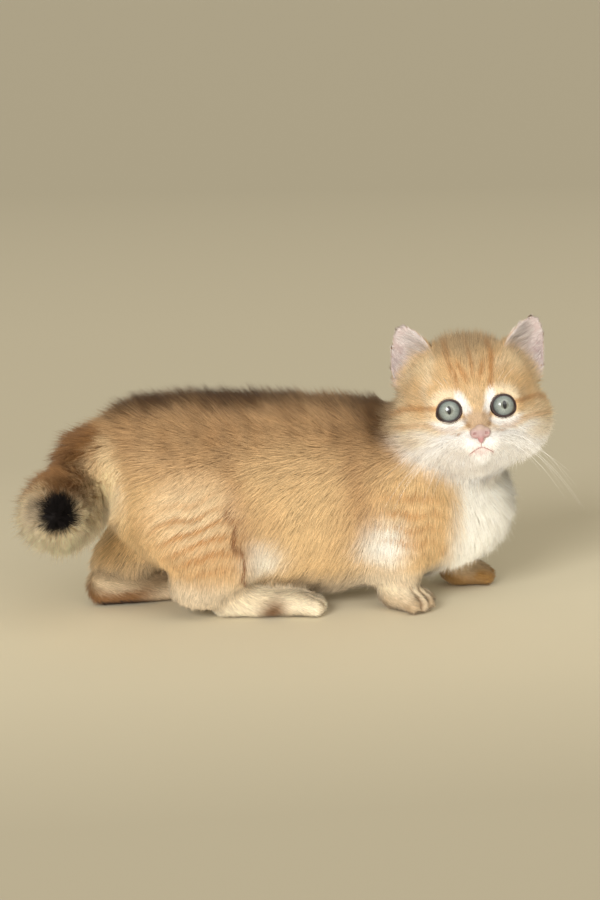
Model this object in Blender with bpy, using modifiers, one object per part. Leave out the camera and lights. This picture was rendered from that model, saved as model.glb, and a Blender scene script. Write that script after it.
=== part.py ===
# Munchkin kitten, standing low on its short legs with its head turned over its right shoulder.
# Metres, +Z up, +X towards the chest. The origin is on the floor, under the middle of the whole kitten.
import math

import bmesh
import bpy
from mathutils import Matrix, Vector

# Driving dimensions, in metres, measured to the tips of the coat
BACK_HEIGHT = 0.120  # floor to the top of the loin
HEAD_WIDTH = 0.092  # across the cheek fur
FOREPAW_LENGTH = 0.034
HINDFOOT_LENGTH = 0.060
EAR_HEIGHT = 0.040  # along the ear, from its root inside the head to its tip
EYE_RADIUS = 0.0082
LID_OPENING = 0.0064  # radius of the round opening between the lids
GAP = 0.0003  # left between pieces that touch
HEAD_SEAT_GAP = 0.0005  # left round the head, whose seat in the neck has fewer faces than the head
TAIL_BOX = 0.12  # side of the boxes that part the tail's lengths
FLOOR_BOX = 0.6  # side of the box that flattens the soles

# One body unit and one head unit are a millimetre at the life size above
BODY = BACK_HEIGHT / 120
HEAD = HEAD_WIDTH / 92
FORE = FOREPAW_LENGTH / 34
HIND = HINDFOOT_LENGTH / 60

SIDES = {"right": -1, "left": 1}

# How each skin is melted from its beads: voxel in the piece's unit, rounds of smoothing, and triangles
BODY_SKIN = (2.6, 10, 3900)
HEAD_SKIN = (1.1, 8, 2300)
NOSE_SKIN = (0.45, 3, 240)
MOUTH_SKIN = (0.3, 1, 260)
PAW_SKIN = (0.9, 3, 400)
HEAD_SEAT_SHARE = 0.35  # of the head's triangles, kept for its seat in the neck

# Trunk and neck: place, then half length, half width and half height, in body units, tail end first
TRUNK_BEADS = [
    ((-86, 0, 80), (32, 36, 39)),
    ((-66, 0, 71), (37, 44, 50)),
    ((-20, 0, 64), (40, 43, 56)),
    ((22, 0, 61.5), (40, 44, 55.5)),
    ((54, 0, 61), (37, 41, 52)),
    ((87, 0, 55), (36, 35, 36)),
]
NECK_BEADS = [
    ((56, 0, 76), (34, 36, 37)),
    ((74, -6, 86), (33, 31, 31)),
    ((90, -16, 102), (29, 27, 29)),
]
TAIL_BEADS = [
    ((-92, 0, 92), (24, 24, 23)),
    ((-112, -6, 82), (25, 25, 24.5)),
    ((-120, -22, 71), (21.5, 22, 21.5)),
    ((-134, -42, 67), (23, 22, 23)),
    ((-137, -55, 68), (18.5, 19, 18.5)),
    ((-139, -67, 71), (11, 12, 11)),
]

# Each leg runs from the flank to just inside its paw. The legs are in mid step, so no two are alike.
LEG_BEADS = {
    "hindleg_right": [
        ((-62, -26, 62), (32, 20, 38)),
        ((-49, -33, 38), (23, 15, 24)),
        ((-58, -27, 20), (20, 13, 15)),
        ((-49, -25, 16), (12, 12, 11)),
    ],
    "hindleg_left": [
        ((-70, 26, 62), (34, 20, 38)),
        ((-78, 29, 40), (24, 15, 24)),
        ((-98, 17, 22), (18, 12, 14)),
    ],
    "foreleg_right": [
        ((56, -25, 58), (26, 17, 34)),
        ((52, -28, 38), (18, 14, 18)),
        ((53, -25, 19), (12, 11, 10)),
    ],
    "foreleg_left": [
        ((70, 23, 56), (26, 17, 32)),
        ((74, 26, 38), (17, 13, 17)),
        ((88, 21, 20), (12, 11, 10)),
    ],
}

# Discs in the side view that mark each leg off from the trunk: along, up and radius, in body units
LEG_MARKS = {
    "hindleg_right": [(-60, 58, 32), (-48, 36, 25), (-58, 10, 24)],
    "hindleg_left": [(-70, 58, 33), (-78, 38, 25), (-104, 8, 26)],
    "foreleg_right": [(57, 57, 25), (54, 34, 24), (56, 8, 20)],
    "foreleg_left": [(72, 55, 24), (76, 34, 23), (92, 8, 20)],
}
LEG_DEPTH = 17  # from the midline to a leg's inner cut, in body units
LEG_REACH = 90  # from the midline to well past a leg's outer side
NECK_MARK = ((93, -18, 109), (56, 52, 52))  # the ball that marks the neck off from the trunk
TAIL_MARK_MARGIN = 4  # how far the tail's mark stands outside the tail
TAIL_CUTS = {
    "tail_tip": ((-135, -49, 67), (-0.1, -1, 0)),
    "tail_middle": ((-120, -22, 72), (-0.5, -0.85, -0.1)),
}

# Paws: the middle of the sole, the way the toes point in degrees from +X, and the kind
PAWS = {
    "forepaw_right": ((54, -25), -42, "fore"),
    "forepaw_left": ((100, 20), 6, "fore"),
    "hindfoot_right": ((-19, -25), -4, "hind"),
    "hindfoot_left": ((-82, 16), 9, "hind"),
}
# A paw's own frame has its toes along +X and its sole at zero
PALM_BEADS = {
    "fore": [
        [((-7, 0, 19), (11.5, 11.5, 10)), ((-3, 0, 9), (12.5, 12.5, 10))],
        [((-3, 0, 9), (12.5, 12.5, 10)), ((5, 0, 7.5), (10, 13, 8.2))],
    ],
    "hind": [
        [((-27, 0, 12), (10, 10, 12.5)), ((-2, 0, 8.5), (12, 11.5, 9.5))],
        [((-2, 0, 8.5), (12, 11, 9)), ((15, 0, 7), (10, 12.5, 8))],
    ],
}
# Toes: where they fan out from, how far they reach, and their directions in degrees
TOES = {"fore": (2, 10.5, (-38, -13, 13, 38)), "hind": (13, 11, (-34, -12, 12, 34))}
TOE_ROOT_RADII = (5, 4.6, 5.8)
TOE_TIP_RADII = (5.4, 4.5, 6)
TOE_RISE = (7.5, 5.6)  # of the root and of the tip
TOE_SPREAD = 1.25  # how much wider than round the toes fan out
TOE_CONVERGE = 0.7  # how far apart the roots lie against the tips
MIDDLE_TOES = 1.2  # how much further the two in the middle reach

# The head's own frame: face along -Y, its left side at +X, origin in the middle of the skull
HEAD_PLACE = (91.5, -20, 111)
HEAD_TURN = (-10, -5.4, -8)  # pitch, roll and yaw, in degrees
HEAD_BEADS = [
    [((0, 4, 7), (39.2, 35, 34)), ((0, -12, 8), (35.5, 21, 27))],
    [((-18.3, -2, -9), (27, 27, 24)), ((18.3, -2, -9), (27, 27, 24))],
    [((0, -4, -19), (29, 26, 20)), ((0, -18, -21), (22, 15, 14.5))],
    [((0, -22, 8), (9, 11.5, 9)), ((0, -34, -10), (5.5, 6.2, 5.5))],
    [((0, -26, -17.5), (12, 11.5, 9.5)), ((0, -20, -12), (22, 14, 15))],
    [((0, -28.5, -25.5), (8, 9, 6.3)), ((0, -20, -25), (14, 12, 10))],
]
HEAD_PAIRED_BEADS = [
    [((5.8, -34.2, -17.8), (7.8, 7, 6.6)), ((11, -27, -16.5), (10, 9, 8.5))],
    [((19.5, -8, -12), (21, 22, 19)), ((9, -23, -17), (12.5, 12, 10.5))],
    [((14.5, -22.4, 2), (14.5, 11, 13.5))],
    [((13, -19, 15), (12, 10, 9))],
]
EYE_PLACE = (13.9, -26.8, -0.1)
EYE_AXIS = Vector((0.12, -1, 0.03))
LID_TUBE = 1.05  # radius of the lids' rounded rim
LID_LAP = (0.55, 0.3)  # how far the rim stands outside the opening and off the eyeball, in its radius
LID_CORNER = (0.16, 8)  # how far the inner corner is drawn out, and how narrow it is
NOSE_BEADS = [
    [((3.7, -39.2, -12.6), (2.6, 2.6, 2.5)), ((-3.7, -39.2, -12.6), (2.6, 2.6, 2.5))],
    [((0, -39.6, -10.8), (3.3, 2.9, 2.2)), ((0, -40.2, -15), (1.9, 2.2, 3))],
]
NOSTRIL = ((3.5, -41.8, -12.9), (1.1, 1.9, 0.8))
# The mouth from the front, as across and up, from its right corner to the middle, and the line below the nose
MOUTH_LINE = [(-6.8, -24.2), (-4.8, -23.1), (-2.3, -21.5), (0, -20.4)]
PHILTRUM = [(0, -17.4), (0, -18.9), (0, -20.4)]
LIP_GROOVE = 0.7

EAR_PLACE = (24, -5, 9)
EAR_LEAN = {"right": 14, "left": 23}  # degrees outwards
EAR_OPEN = 20  # degrees that the cup faces outwards
EAR_HALF_WIDTH = 16
EAR_ROOT = (0.4, 0.45)  # how much narrower the root is, and the share of the height where it has flared out
EAR_TAPER = (1.75, 0.6)  # powers that set how the sides draw in towards the tip
EAR_TIP = 0.985  # just under one, so that the tip stays a little round
EAR_CURL = (1.3, 0.7)  # half the angle that the cup wraps round, at its root and at its tip
EAR_CUP = 0.8  # depth of the cup against that of a round one
EAR_WALL = 1.8


def clear_scene():
    for thing in list(bpy.data.objects):
        bpy.data.objects.remove(thing)


def make_collection(name):
    collection = bpy.data.collections.new(name)
    bpy.context.scene.collection.children.link(collection)
    return collection


def make_material(name, colour, roughness):
    material = bpy.data.materials.new(name)
    material.use_nodes = True
    shader = material.node_tree.nodes["Principled BSDF"]
    shader.inputs["Base Color"].default_value = (*colour, 1)
    shader.inputs["Roughness"].default_value = roughness
    shader.inputs["Metallic"].default_value = 0
    return material


def add_object(name, mesh, collection):
    thing = bpy.data.objects.new(name, mesh)
    collection.objects.link(thing)
    return thing


def add_cutter(name, mesh):
    cutter = add_object(name, mesh, cutters)
    cutter.hide_render = True
    cutter.display_type = "WIRE"
    return cutter


def mesh_from(name, shape):
    bmesh.ops.recalc_face_normals(shape, faces=shape.faces)
    mesh = bpy.data.meshes.new(name)
    shape.to_mesh(mesh)
    shape.free()
    return mesh


def ball_points(detail):
    """Points spread evenly over a ball of radius one."""
    shape = bmesh.new()
    bmesh.ops.create_icosphere(shape, subdivisions=detail, radius=1)
    points = [v.co.copy() for v in shape.verts]
    shape.free()
    return points


def wrap(shape, points):
    """Closes one tight skin round some new points."""
    made = [shape.verts.new(p) for p in points]
    wrapped = bmesh.ops.convex_hull(shape, input=made)
    spare = {e for e in wrapped["geom_interior"] if isinstance(e, bmesh.types.BMVert)}
    bmesh.ops.delete(shape, geom=list(spare), context="VERTS")


def add_link(shape, beads, unit, detail=3):
    """Wraps one tight skin round neighbouring beads, each an ellipsoid."""
    ball = ball_points(detail)
    points = []
    for centre, radii in beads:
        points += [(Vector(centre) + p * Vector(radii)) * unit for p in ball]
    wrap(shape, points)


def add_chain(shape, beads, unit):
    for first, second in zip(beads, beads[1:]):
        add_link(shape, [first, second], unit)


def mirrored(link):
    return [((-x, y, z), radii) for (x, y, z), radii in link]


def applied(thing):
    """Turns an object with its modifiers into a plain mesh."""
    graph = bpy.context.evaluated_depsgraph_get()
    mesh = bpy.data.meshes.new_from_object(thing.evaluated_get(graph))
    thing.modifiers.clear()
    thing.data = mesh
    return thing


def fleshed(thing, unit, skin):
    """Melts overlapping beads into one smooth closed skin of about that many triangles."""
    voxel, smoothing, triangles = skin
    melt = thing.modifiers.new("melt", "REMESH")
    melt.mode = "VOXEL"
    melt.voxel_size = voxel * unit
    soften = thing.modifiers.new("soften", "SMOOTH")
    soften.factor = 0.5
    soften.iterations = smoothing
    applied(thing)
    return lightened(thing, triangles / (2 * len(thing.data.polygons)))


def lightened(thing, ratio):
    """Keeps that share of the triangles, most of them where the surface bends."""
    lighten = thing.modifiers.new("lighten", "DECIMATE")
    lighten.ratio = ratio
    lighten.use_collapse_triangulate = True
    return applied(thing)


def boolean(thing, other, operation):
    """Cuts or joins with one closed mesh, and keeps the result's largest surface."""
    step = thing.modifiers.new("boolean", "BOOLEAN")
    step.operation = operation
    step.object = other
    step.solver = "EXACT"
    bpy.context.view_layer.update()
    applied(thing)
    return largest_surface(thing)


def largest_surface(thing):
    shape = bmesh.new()
    shape.from_mesh(thing.data)
    left = set(shape.verts)
    groups = []
    while left:
        group = {left.pop()}
        edge = list(group)
        while edge:
            found = {e.other_vert(v) for v in edge for e in v.link_edges} - group
            group |= found
            edge = list(found)
        left -= group
        groups.append(group)
    keep = max(groups, key=len)
    bmesh.ops.delete(shape, geom=[v for v in shape.verts if v not in keep], context="VERTS")
    shape.to_mesh(thing.data)
    shape.free()
    return thing


def grown(name, thing, distance=GAP):
    """A copy of a solid, a little larger all round, to cut its neighbour's seat with."""
    shape = bmesh.new()
    shape.from_mesh(thing.data)
    shape.normal_update()
    for vertex, normal in [(v, v.normal.copy()) for v in shape.verts]:
        vertex.co += normal * distance
    mesh = mesh_from(name, shape)
    mesh.transform(thing.matrix_world)
    return add_cutter(name, mesh)


def box_beyond(name, point, direction, reach):
    """A box with one face on the plane through a point, lying on the side that the direction points to."""
    shape = bmesh.new()
    turn = Vector(direction).normalized().to_track_quat("Z", "Y").to_matrix().to_4x4()
    place = Matrix.Translation(Vector(point)) @ turn @ Matrix.Translation((0, 0, reach / 2))
    bmesh.ops.create_cube(shape, size=reach, matrix=place)
    return add_cutter(name, mesh_from(name, shape))


def lobe(name, discs, side, depth, extra=0.0):
    """A plate seen from the side as discs wrapped together, from a depth beside the midline outwards."""
    steps = 20
    points = []
    for along, up, radius in discs:
        for step in range(steps):
            turn = 2 * math.pi * step / steps
            reach = radius * BODY + extra
            x = along * BODY + reach * math.cos(turn)
            z = up * BODY + reach * math.sin(turn)
            points += [(x, side * (depth * BODY - extra), z), (x, side * LEG_REACH * BODY, z)]
    shape = bmesh.new()
    wrap(shape, points)
    return add_cutter(name, mesh_from(name, shape))


def copy_of(thing, name, collection):
    return add_object(name, thing.data.copy(), collection)


def build_body():
    """Trunk, neck, tail and upper legs as one smooth skin, still in one piece."""
    shape = bmesh.new()
    for beads in (TRUNK_BEADS, NECK_BEADS, TAIL_BEADS, *LEG_BEADS.values()):
        add_chain(shape, beads, BODY)
    body = add_object("torso", mesh_from("torso", shape), kitten)
    return fleshed(body, BODY, BODY_SKIN)


def build_head():
    shape = bmesh.new()
    links = HEAD_BEADS + HEAD_PAIRED_BEADS + [mirrored(link) for link in HEAD_PAIRED_BEADS]
    for link in links:
        add_link(shape, link, HEAD)
    return fleshed(add_object("head", mesh_from("head", shape), kitten), HEAD, HEAD_SKIN)


def eye_matrix(side):
    across, depth, up = EYE_PLACE
    axis = Vector((EYE_AXIS.x * side, EYE_AXIS.y, EYE_AXIS.z))
    turn = axis.to_track_quat("Z", "X").to_matrix().to_4x4()
    return Matrix.Translation(Vector((side * across, depth, up)) * HEAD) @ turn


def eye_ball(name, side, radius):
    shape = bmesh.new()
    bmesh.ops.create_uvsphere(shape, u_segments=16, v_segments=9, radius=radius, matrix=eye_matrix(side))
    return mesh_from(name, shape)


def lid_ring(name, side):
    """The lids as a rounded rim on the eyeball round its opening, drawn out towards the nose."""
    tube = LID_TUBE * HEAD
    ring_radius = LID_OPENING + LID_LAP[0] * tube
    lift = math.sqrt((EYE_RADIUS + LID_LAP[1] * tube) ** 2 - ring_radius**2)
    bpy.ops.mesh.primitive_torus_add(
        major_radius=ring_radius, minor_radius=tube, major_segments=24, minor_segments=6
    )
    ring = bpy.context.object
    mesh = ring.data.copy()
    bpy.data.objects.remove(ring)
    turn = eye_matrix(side)
    inner_corner = turn.to_3x3().inverted() @ Vector((-side, 0, -0.35))
    reach, narrowness = LID_CORNER
    for vertex in mesh.vertices:
        towards = max(0, vertex.co.to_2d().normalized().dot(inner_corner.to_2d().normalized()))
        vertex.co.xy *= 1 + reach * towards**narrowness
    mesh.transform(turn @ Matrix.Translation((0, 0, lift)))
    return add_cutter(name, mesh)


def add_lids_and_sockets(head):
    for word, side in SIDES.items():
        boolean(head, lid_ring(f"lids_{word}", side), "UNION")
    for word, side in SIDES.items():
        socket = add_cutter(f"socket_{word}", eye_ball(f"socket_{word}", side, EYE_RADIUS + GAP))
        boolean(head, socket, "DIFFERENCE")
        add_object(f"eye_{word}", eye_ball(f"eye_{word}", side, EYE_RADIUS), kitten)


def groove(name, head, line):
    """A string of small beads laid along the head's surface and melted into one, to cut the mouth with."""
    shape = bmesh.new()
    radii = (LIP_GROOVE, LIP_GROOVE, LIP_GROOVE)
    points = []
    for across, up in line:
        ahead = Vector((across * HEAD, -HEAD_WIDTH, up * HEAD))
        place = head.ray_cast(ahead, (0, 1, 0))[1]
        points.append(place / HEAD)
    for first, second in zip(points, points[1:]):
        add_link(shape, [(first, radii), (second, radii)], HEAD, 2)
    return fleshed(add_cutter(name, mesh_from(name, shape)), HEAD, MOUTH_SKIN)


def add_nose_and_mouth(head):
    shape = bmesh.new()
    for link in NOSE_BEADS:
        add_link(shape, link, HEAD)
    nose = add_object("nose", mesh_from("nose", shape), kitten)
    fleshed(nose, HEAD, NOSE_SKIN)
    boolean(head, grown("nose_seat", nose), "DIFFERENCE")
    for word, side in SIDES.items():
        shape = bmesh.new()
        (across, depth, up), radii = NOSTRIL
        add_link(shape, [((side * across, depth, up), radii)], HEAD, 2)
        boolean(nose, add_cutter(f"nostril_{word}", mesh_from("nostril", shape)), "DIFFERENCE")
    left_half = [(-across, up) for across, up in reversed(MOUTH_LINE[:-1])]
    cuts = [groove("mouth", head, MOUTH_LINE + left_half), groove("philtrum", head, PHILTRUM)]
    for cut in cuts:
        boolean(head, cut, "DIFFERENCE")


def build_ear(word, side, seat):
    """A cupped triangular leaf with a rounded tip, open towards the front and a little outwards."""
    across, along = 12, 10
    shape = bmesh.new()
    bmesh.ops.create_grid(shape, x_segments=across, y_segments=along, size=1)
    for vertex in shape.verts:
        sideways, rise = vertex.co.x, (vertex.co.y + 1) / 2
        flare = 1 - EAR_ROOT[0] * (1 - math.sin(math.pi / 2 * min(1, rise / EAR_ROOT[1])))
        width = EAR_HALF_WIDTH * flare * (1 - (EAR_TIP * rise) ** EAR_TAPER[0]) ** EAR_TAPER[1]
        curl = EAR_CURL[0] * (1 - rise) + EAR_CURL[1] * rise
        bow = width / math.sin(curl)
        depth = bow * (math.cos(curl * sideways) - math.cos(curl)) * EAR_CUP
        vertex.co = Vector((bow * math.sin(curl * sideways), depth, rise * EAR_HEIGHT / HEAD))
    mesh = mesh_from(f"ear_{word}", shape)
    place = Matrix.Translation(Vector((side * EAR_PLACE[0], *EAR_PLACE[1:])))
    lean = Matrix.Rotation(math.radians(side * EAR_LEAN[word]), 4, "Y")
    open_out = Matrix.Rotation(math.radians(side * EAR_OPEN), 4, "Z")
    mesh.transform(Matrix.Scale(HEAD, 4) @ place @ lean @ open_out)
    ear = add_object(f"ear_{word}", mesh, kitten)
    wall = ear.modifiers.new("wall", "SOLIDIFY")
    wall.thickness = EAR_WALL * HEAD
    wall.offset = 0
    applied(ear)
    return boolean(ear, seat, "DIFFERENCE")


def paw_beads(kind):
    links = list(PALM_BEADS[kind])
    toe_root, toe_reach, directions = TOES[kind]
    for degrees in directions:
        turn = math.radians(degrees)
        reach = toe_reach + MIDDLE_TOES * math.cos(2 * turn)
        tip = (toe_root + reach * math.cos(turn), reach * math.sin(turn) * TOE_SPREAD, TOE_RISE[1])
        root = (toe_root, TOE_CONVERGE * tip[1], TOE_RISE[0])
        links.append([(root, TOE_ROOT_RADII), (tip, TOE_TIP_RADII)])
    return links


def build_paw(name, place, heading, kind):
    unit = FORE if kind == "fore" else HIND
    shape = bmesh.new()
    for link in paw_beads(kind):
        add_link(shape, link, unit)
    paw = fleshed(add_object(name, mesh_from(name, shape), kitten), unit, PAW_SKIN)
    turn = Matrix.Rotation(math.radians(heading), 4, "Z")
    paw.data.transform(Matrix.Translation(Vector((*place, 0)) * BODY) @ turn)
    floor = box_beyond(f"floor_{name}", (0, 0, 0), (0, 0, -1), FLOOR_BOX)
    return boolean(paw, floor, "DIFFERENCE")


def part_off(body, name, mark, wider_mark):
    """Takes the marked piece from the body as its own node, and leaves the gap between them."""
    piece = copy_of(body, name, kitten)
    boolean(piece, mark, "INTERSECT")
    boolean(body, wider_mark, "DIFFERENCE")
    return piece


def tail_mark(name, margin):
    shape = bmesh.new()
    wider = [(centre, [r + margin for r in radii]) for centre, radii in TAIL_BEADS[1:]]
    add_link(shape, wider, BODY, 2)
    return add_cutter(name, mesh_from(name, shape))


def neck_mark(name, extra=0.0):
    shape = bmesh.new()
    centre, radii = NECK_MARK
    add_link(shape, [(centre, [r + extra for r in radii])], BODY)
    return add_cutter(name, mesh_from(name, shape))


def divide_body(body):
    """Marks the tail, legs and neck off from the trunk, which keeps what is left."""
    gap = GAP / BODY
    seat = tail_mark("tail_seat", TAIL_MARK_MARGIN + gap)
    tail = part_off(body, "tail_root", tail_mark("tail_mark", TAIL_MARK_MARGIN), seat)
    for name, (point, direction) in TAIL_CUTS.items():
        away = Vector(direction).normalized() * gap
        mark = box_beyond(f"{name}_mark", Vector(point) * BODY, direction, TAIL_BOX)
        wider = box_beyond(f"{name}_seat", (Vector(point) - away) * BODY, direction, TAIL_BOX)
        part_off(tail, name, mark, wider)
    for name, discs in LEG_MARKS.items():
        side = SIDES[name.split("_")[1]]
        mark = lobe(f"{name}_mark", discs, side, LEG_DEPTH)
        wider = lobe(f"{name}_seat", discs, side, LEG_DEPTH, GAP)
        part_off(body, name, mark, wider)
    part_off(body, "neck", neck_mark("neck_mark"), neck_mark("neck_seat", gap))


def paint(thing):
    colours = {
        "eye": ((0.30, 0.40, 0.42), 0.1),
        "nose": ((0.75, 0.38, 0.34), 0.5),
        "ear": ((0.80, 0.62, 0.52), 0.8),
        "tail_tip": ((0.05, 0.035, 0.03), 0.9),
        "head": ((0.80, 0.52, 0.25), 0.9),
        "forepaw": ((0.72, 0.52, 0.30), 0.9),
        "hindfoot": ((0.72, 0.52, 0.30), 0.9),
    }
    colour, roughness = ((0.66, 0.42, 0.20), 0.9)
    for word, finish in colours.items():
        if thing.name.startswith(word):
            colour, roughness = finish
    thing.data.materials.clear()
    thing.data.materials.append(make_material(f"{thing.name}_finish", colour, roughness))
    thing.data.shade_smooth()
    thing.data.set_sharp_from_angle(angle=math.radians(50))


def stand_on_origin():
    """Moves everything so that the origin is on the floor under the middle of the kitten."""
    corners = [v.co for thing in kitten.objects for v in thing.data.vertices]
    low = Vector([min(c[axis] for c in corners) for axis in range(3)])
    high = Vector([max(c[axis] for c in corners) for axis in range(3)])
    middle = (low + high) / 2
    for thing in kitten.objects:
        thing.data.transform(Matrix.Translation((-middle.x, -middle.y, -low.z)))


clear_scene()
kitten = make_collection("munchkin_kitten")
cutters = make_collection("cutters")

body = build_body()
paws = [build_paw(name, *row) for name, row in PAWS.items()]
for paw in paws:
    boolean(body, grown(f"{paw.name}_seat", paw), "DIFFERENCE")

head = build_head()
head_form = copy_of(head, "head_form", cutters)
ear_seat = grown("ear_seat", head)
for word, side in SIDES.items():
    build_ear(word, side, ear_seat)
add_lids_and_sockets(head)
add_nose_and_mouth(head)
pitch, roll, yaw = (math.radians(a) for a in HEAD_TURN)
head_matrix = (
    Matrix.Translation(Vector(HEAD_PLACE) * BODY)
    @ Matrix.Rotation(yaw, 4, "Z")
    @ Matrix.Rotation(pitch, 4, "X")
    @ Matrix.Rotation(roll, 4, "Y")
)
head_seat = lightened(grown("head_seat", head_form, HEAD_SEAT_GAP), HEAD_SEAT_SHARE)
head_seat.data.transform(head_matrix)
for thing in kitten.objects:
    if thing.name.split("_")[0] in ("head", "ear", "eye", "nose"):
        thing.data.transform(head_matrix)
boolean(body, head_seat, "DIFFERENCE")
divide_body(body)

for thing in kitten.objects:
    paint(thing)
stand_on_origin()
for cutter in list(cutters.objects):
    bpy.data.objects.remove(cutter)
bpy.data.collections.remove(cutters)
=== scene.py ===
# Munchkin kitten, a still life-size model: its skin, coat, face and paws, and the light and camera
import math

import bmesh
import bpy
import numpy as np
from mathutils import Matrix, Vector
from mathutils.bvhtree import BVHTree
from mathutils.kdtree import KDTree


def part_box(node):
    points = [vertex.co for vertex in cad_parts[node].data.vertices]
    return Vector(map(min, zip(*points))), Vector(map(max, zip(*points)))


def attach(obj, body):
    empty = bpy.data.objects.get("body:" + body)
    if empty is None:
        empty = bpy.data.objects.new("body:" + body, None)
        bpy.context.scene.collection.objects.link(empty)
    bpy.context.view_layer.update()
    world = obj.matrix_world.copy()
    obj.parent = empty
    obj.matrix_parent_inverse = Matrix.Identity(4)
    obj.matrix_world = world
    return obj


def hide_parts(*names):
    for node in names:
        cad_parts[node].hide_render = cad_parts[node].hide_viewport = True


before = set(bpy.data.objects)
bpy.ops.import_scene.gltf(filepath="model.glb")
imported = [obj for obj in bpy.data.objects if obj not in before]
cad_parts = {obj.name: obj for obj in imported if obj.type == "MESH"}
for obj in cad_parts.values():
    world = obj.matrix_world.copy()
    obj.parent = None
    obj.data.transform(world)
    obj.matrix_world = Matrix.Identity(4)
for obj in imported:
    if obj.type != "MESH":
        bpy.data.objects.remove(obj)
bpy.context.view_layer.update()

# Places are in the kitten's own millimetres: floor at zero, +X towards the chest, +Y its left side.
# The head has its own axes too: face along -Y, its left side at +X, origin in the middle of the skull.
kitten = {
    "headPlace": (91.5, -20, 111),
    "headPitch": -10,
    "headRoll": -5.4,
    "headYaw": -8,
    "eyePlace": (13.9, -26.8, -0.1),
    "eyeAxis": (0.12, -1, 0.03),
    "eyeRadius": 8.2,
    "lidOpening": 6.4,
    "earPlace": (24, -5, 9),
    "earLean": (14, 23),  # degrees outwards, of the right and the left one
    "earOpen": 20,
    "earHeight": 40,
    "frontLegStep": 16,  # how much further forward the left foreleg stands than the right
    "hindLegStep": -15,
    "forepaw": (((54, -25), -42), ((100, 20), 6)),  # where each stands and where it points, right and left
    "hindfoot": (((-19, -25), -4), ((-82, 16), 9)),
    "forepawToes": (2, 11, (-38, -13, 13, 38)),  # where they fan out from, their reach and their ways
    "hindfootToes": (13, 11.5, (-34, -12, 12, 34)),
    "tail": [
        (-92, 0, 92), (-112, -6, 82), (-120, -22, 71),
        (-134, -42, 67), (-137, -55, 68), (-139, -67, 71),
    ],
}

headPlace = np.array(kitten["headPlace"], float)
headTurn = np.array(
    Matrix.Rotation(math.radians(kitten["headYaw"]), 3, "Z")
    @ Matrix.Rotation(math.radians(kitten["headPitch"]), 3, "X")
    @ Matrix.Rotation(math.radians(kitten["headRoll"]), 3, "Y")
)
eyesMiddle = (np.array(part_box("eye_left")) + np.array(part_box("eye_right"))).mean(0) / 2
betweenEyes = np.array((0, kitten["eyePlace"][1], kitten["eyePlace"][2]))
shift = eyesMiddle - (headTurn @ betweenEyes + headPlace) / 1000


def toWorld(places):
    return np.asarray(places, float) / 1000 + shift


def fromWorld(points):
    return (points - shift) * 1000


def toHead(places):
    return (places - headPlace) @ headTurn


def headToWorld(local):
    return toWorld(np.asarray(local, float) @ headTurn.T + headPlace)


def added(name, data):  # a new object in the scene that holds this data
    thing = bpy.data.objects.new(name, data)
    bpy.context.scene.collection.objects.link(thing)
    return thing


# Small sums on arrays
def tone(red, green, blue):  # a colour as the eye sees it, 0 to 255, in linear light
    seen = np.array((red, green, blue)) / 255
    return np.where(seen <= 0.04045, seen / 12.92, ((seen + 0.055) / 1.055) ** 2.4)


def mixed(first, second, share):
    share = np.clip(np.asarray(share, float), 0, 1)[..., None]
    return first * (1 - share) + second * share


def ramp(value, low, high):  # from 0 at low to 1 at high, smoothly, also where low is above high
    share = np.clip((value - low) / (high - low), 0, 1)
    return share * share * (3 - 2 * share)


def patch(places, centre, radii):  # 1 in the middle of a soft round patch, 0 well outside it
    far = (((places - np.array(centre)) / np.array(radii)) ** 2).sum(1)
    return np.exp(-1.4 * far**1.5)


def lengths(vectors):
    return np.sqrt((vectors**2).sum(1))


def unit(vectors):
    return vectors / np.maximum(lengths(vectors), 1e-9)[:, None]


def awayFromLine(flat, line):  # how far places in a plane are from a line of points
    nearest = np.full(len(flat), 1e9)
    for start, end in zip(np.array(line[:-1], float), np.array(line[1:], float)):
        along = end - start
        share = np.clip(((flat - start) @ along) / (along @ along), 0, 1)
        nearest = np.minimum(nearest, lengths(flat - start - share[:, None] * along))
    return nearest


noiseLattice = np.random.default_rng(11).random((32, 32, 32))


def noise(places, grain, seed=0):  # smooth and seeded, from -1 to 1
    spots = places / np.array(grain) + seed * 7.31
    cell = np.floor(spots).astype(int)
    part = spots - cell
    part = part * part * (3 - 2 * part)
    total = np.zeros(len(places))
    for corner in np.ndindex(2, 2, 2):
        weight = np.where(np.array(corner), part, 1 - part).prod(1)
        index = (cell + corner) % 32
        total += weight * noiseLattice[index[:, 0], index[:, 1], index[:, 2]]
    return total * 2 - 1


print("the skin")
skinLook = {"grown": 0.35, "voxel": 1.26, "steps": 6, "softening": 2, "evening": 36}
groups = ("head", "ear", "neck", "torso", "tail", "hindleg", "foreleg", "forepaw", "hindfoot")
fleshNodes = sorted(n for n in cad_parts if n.split("_")[0] in groups)


def mergedNode(name):
    shape = bmesh.new()
    shape.from_mesh(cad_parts[name].data)
    bmesh.ops.remove_doubles(shape, verts=shape.verts, dist=1e-6)
    shape.normal_update()
    points = np.array([v.co for v in shape.verts])
    normals = np.array([v.normal for v in shape.verts])
    faces = [[v.index for v in f.verts] for f in shape.faces]
    shape.free()
    return points, normals, faces


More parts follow.
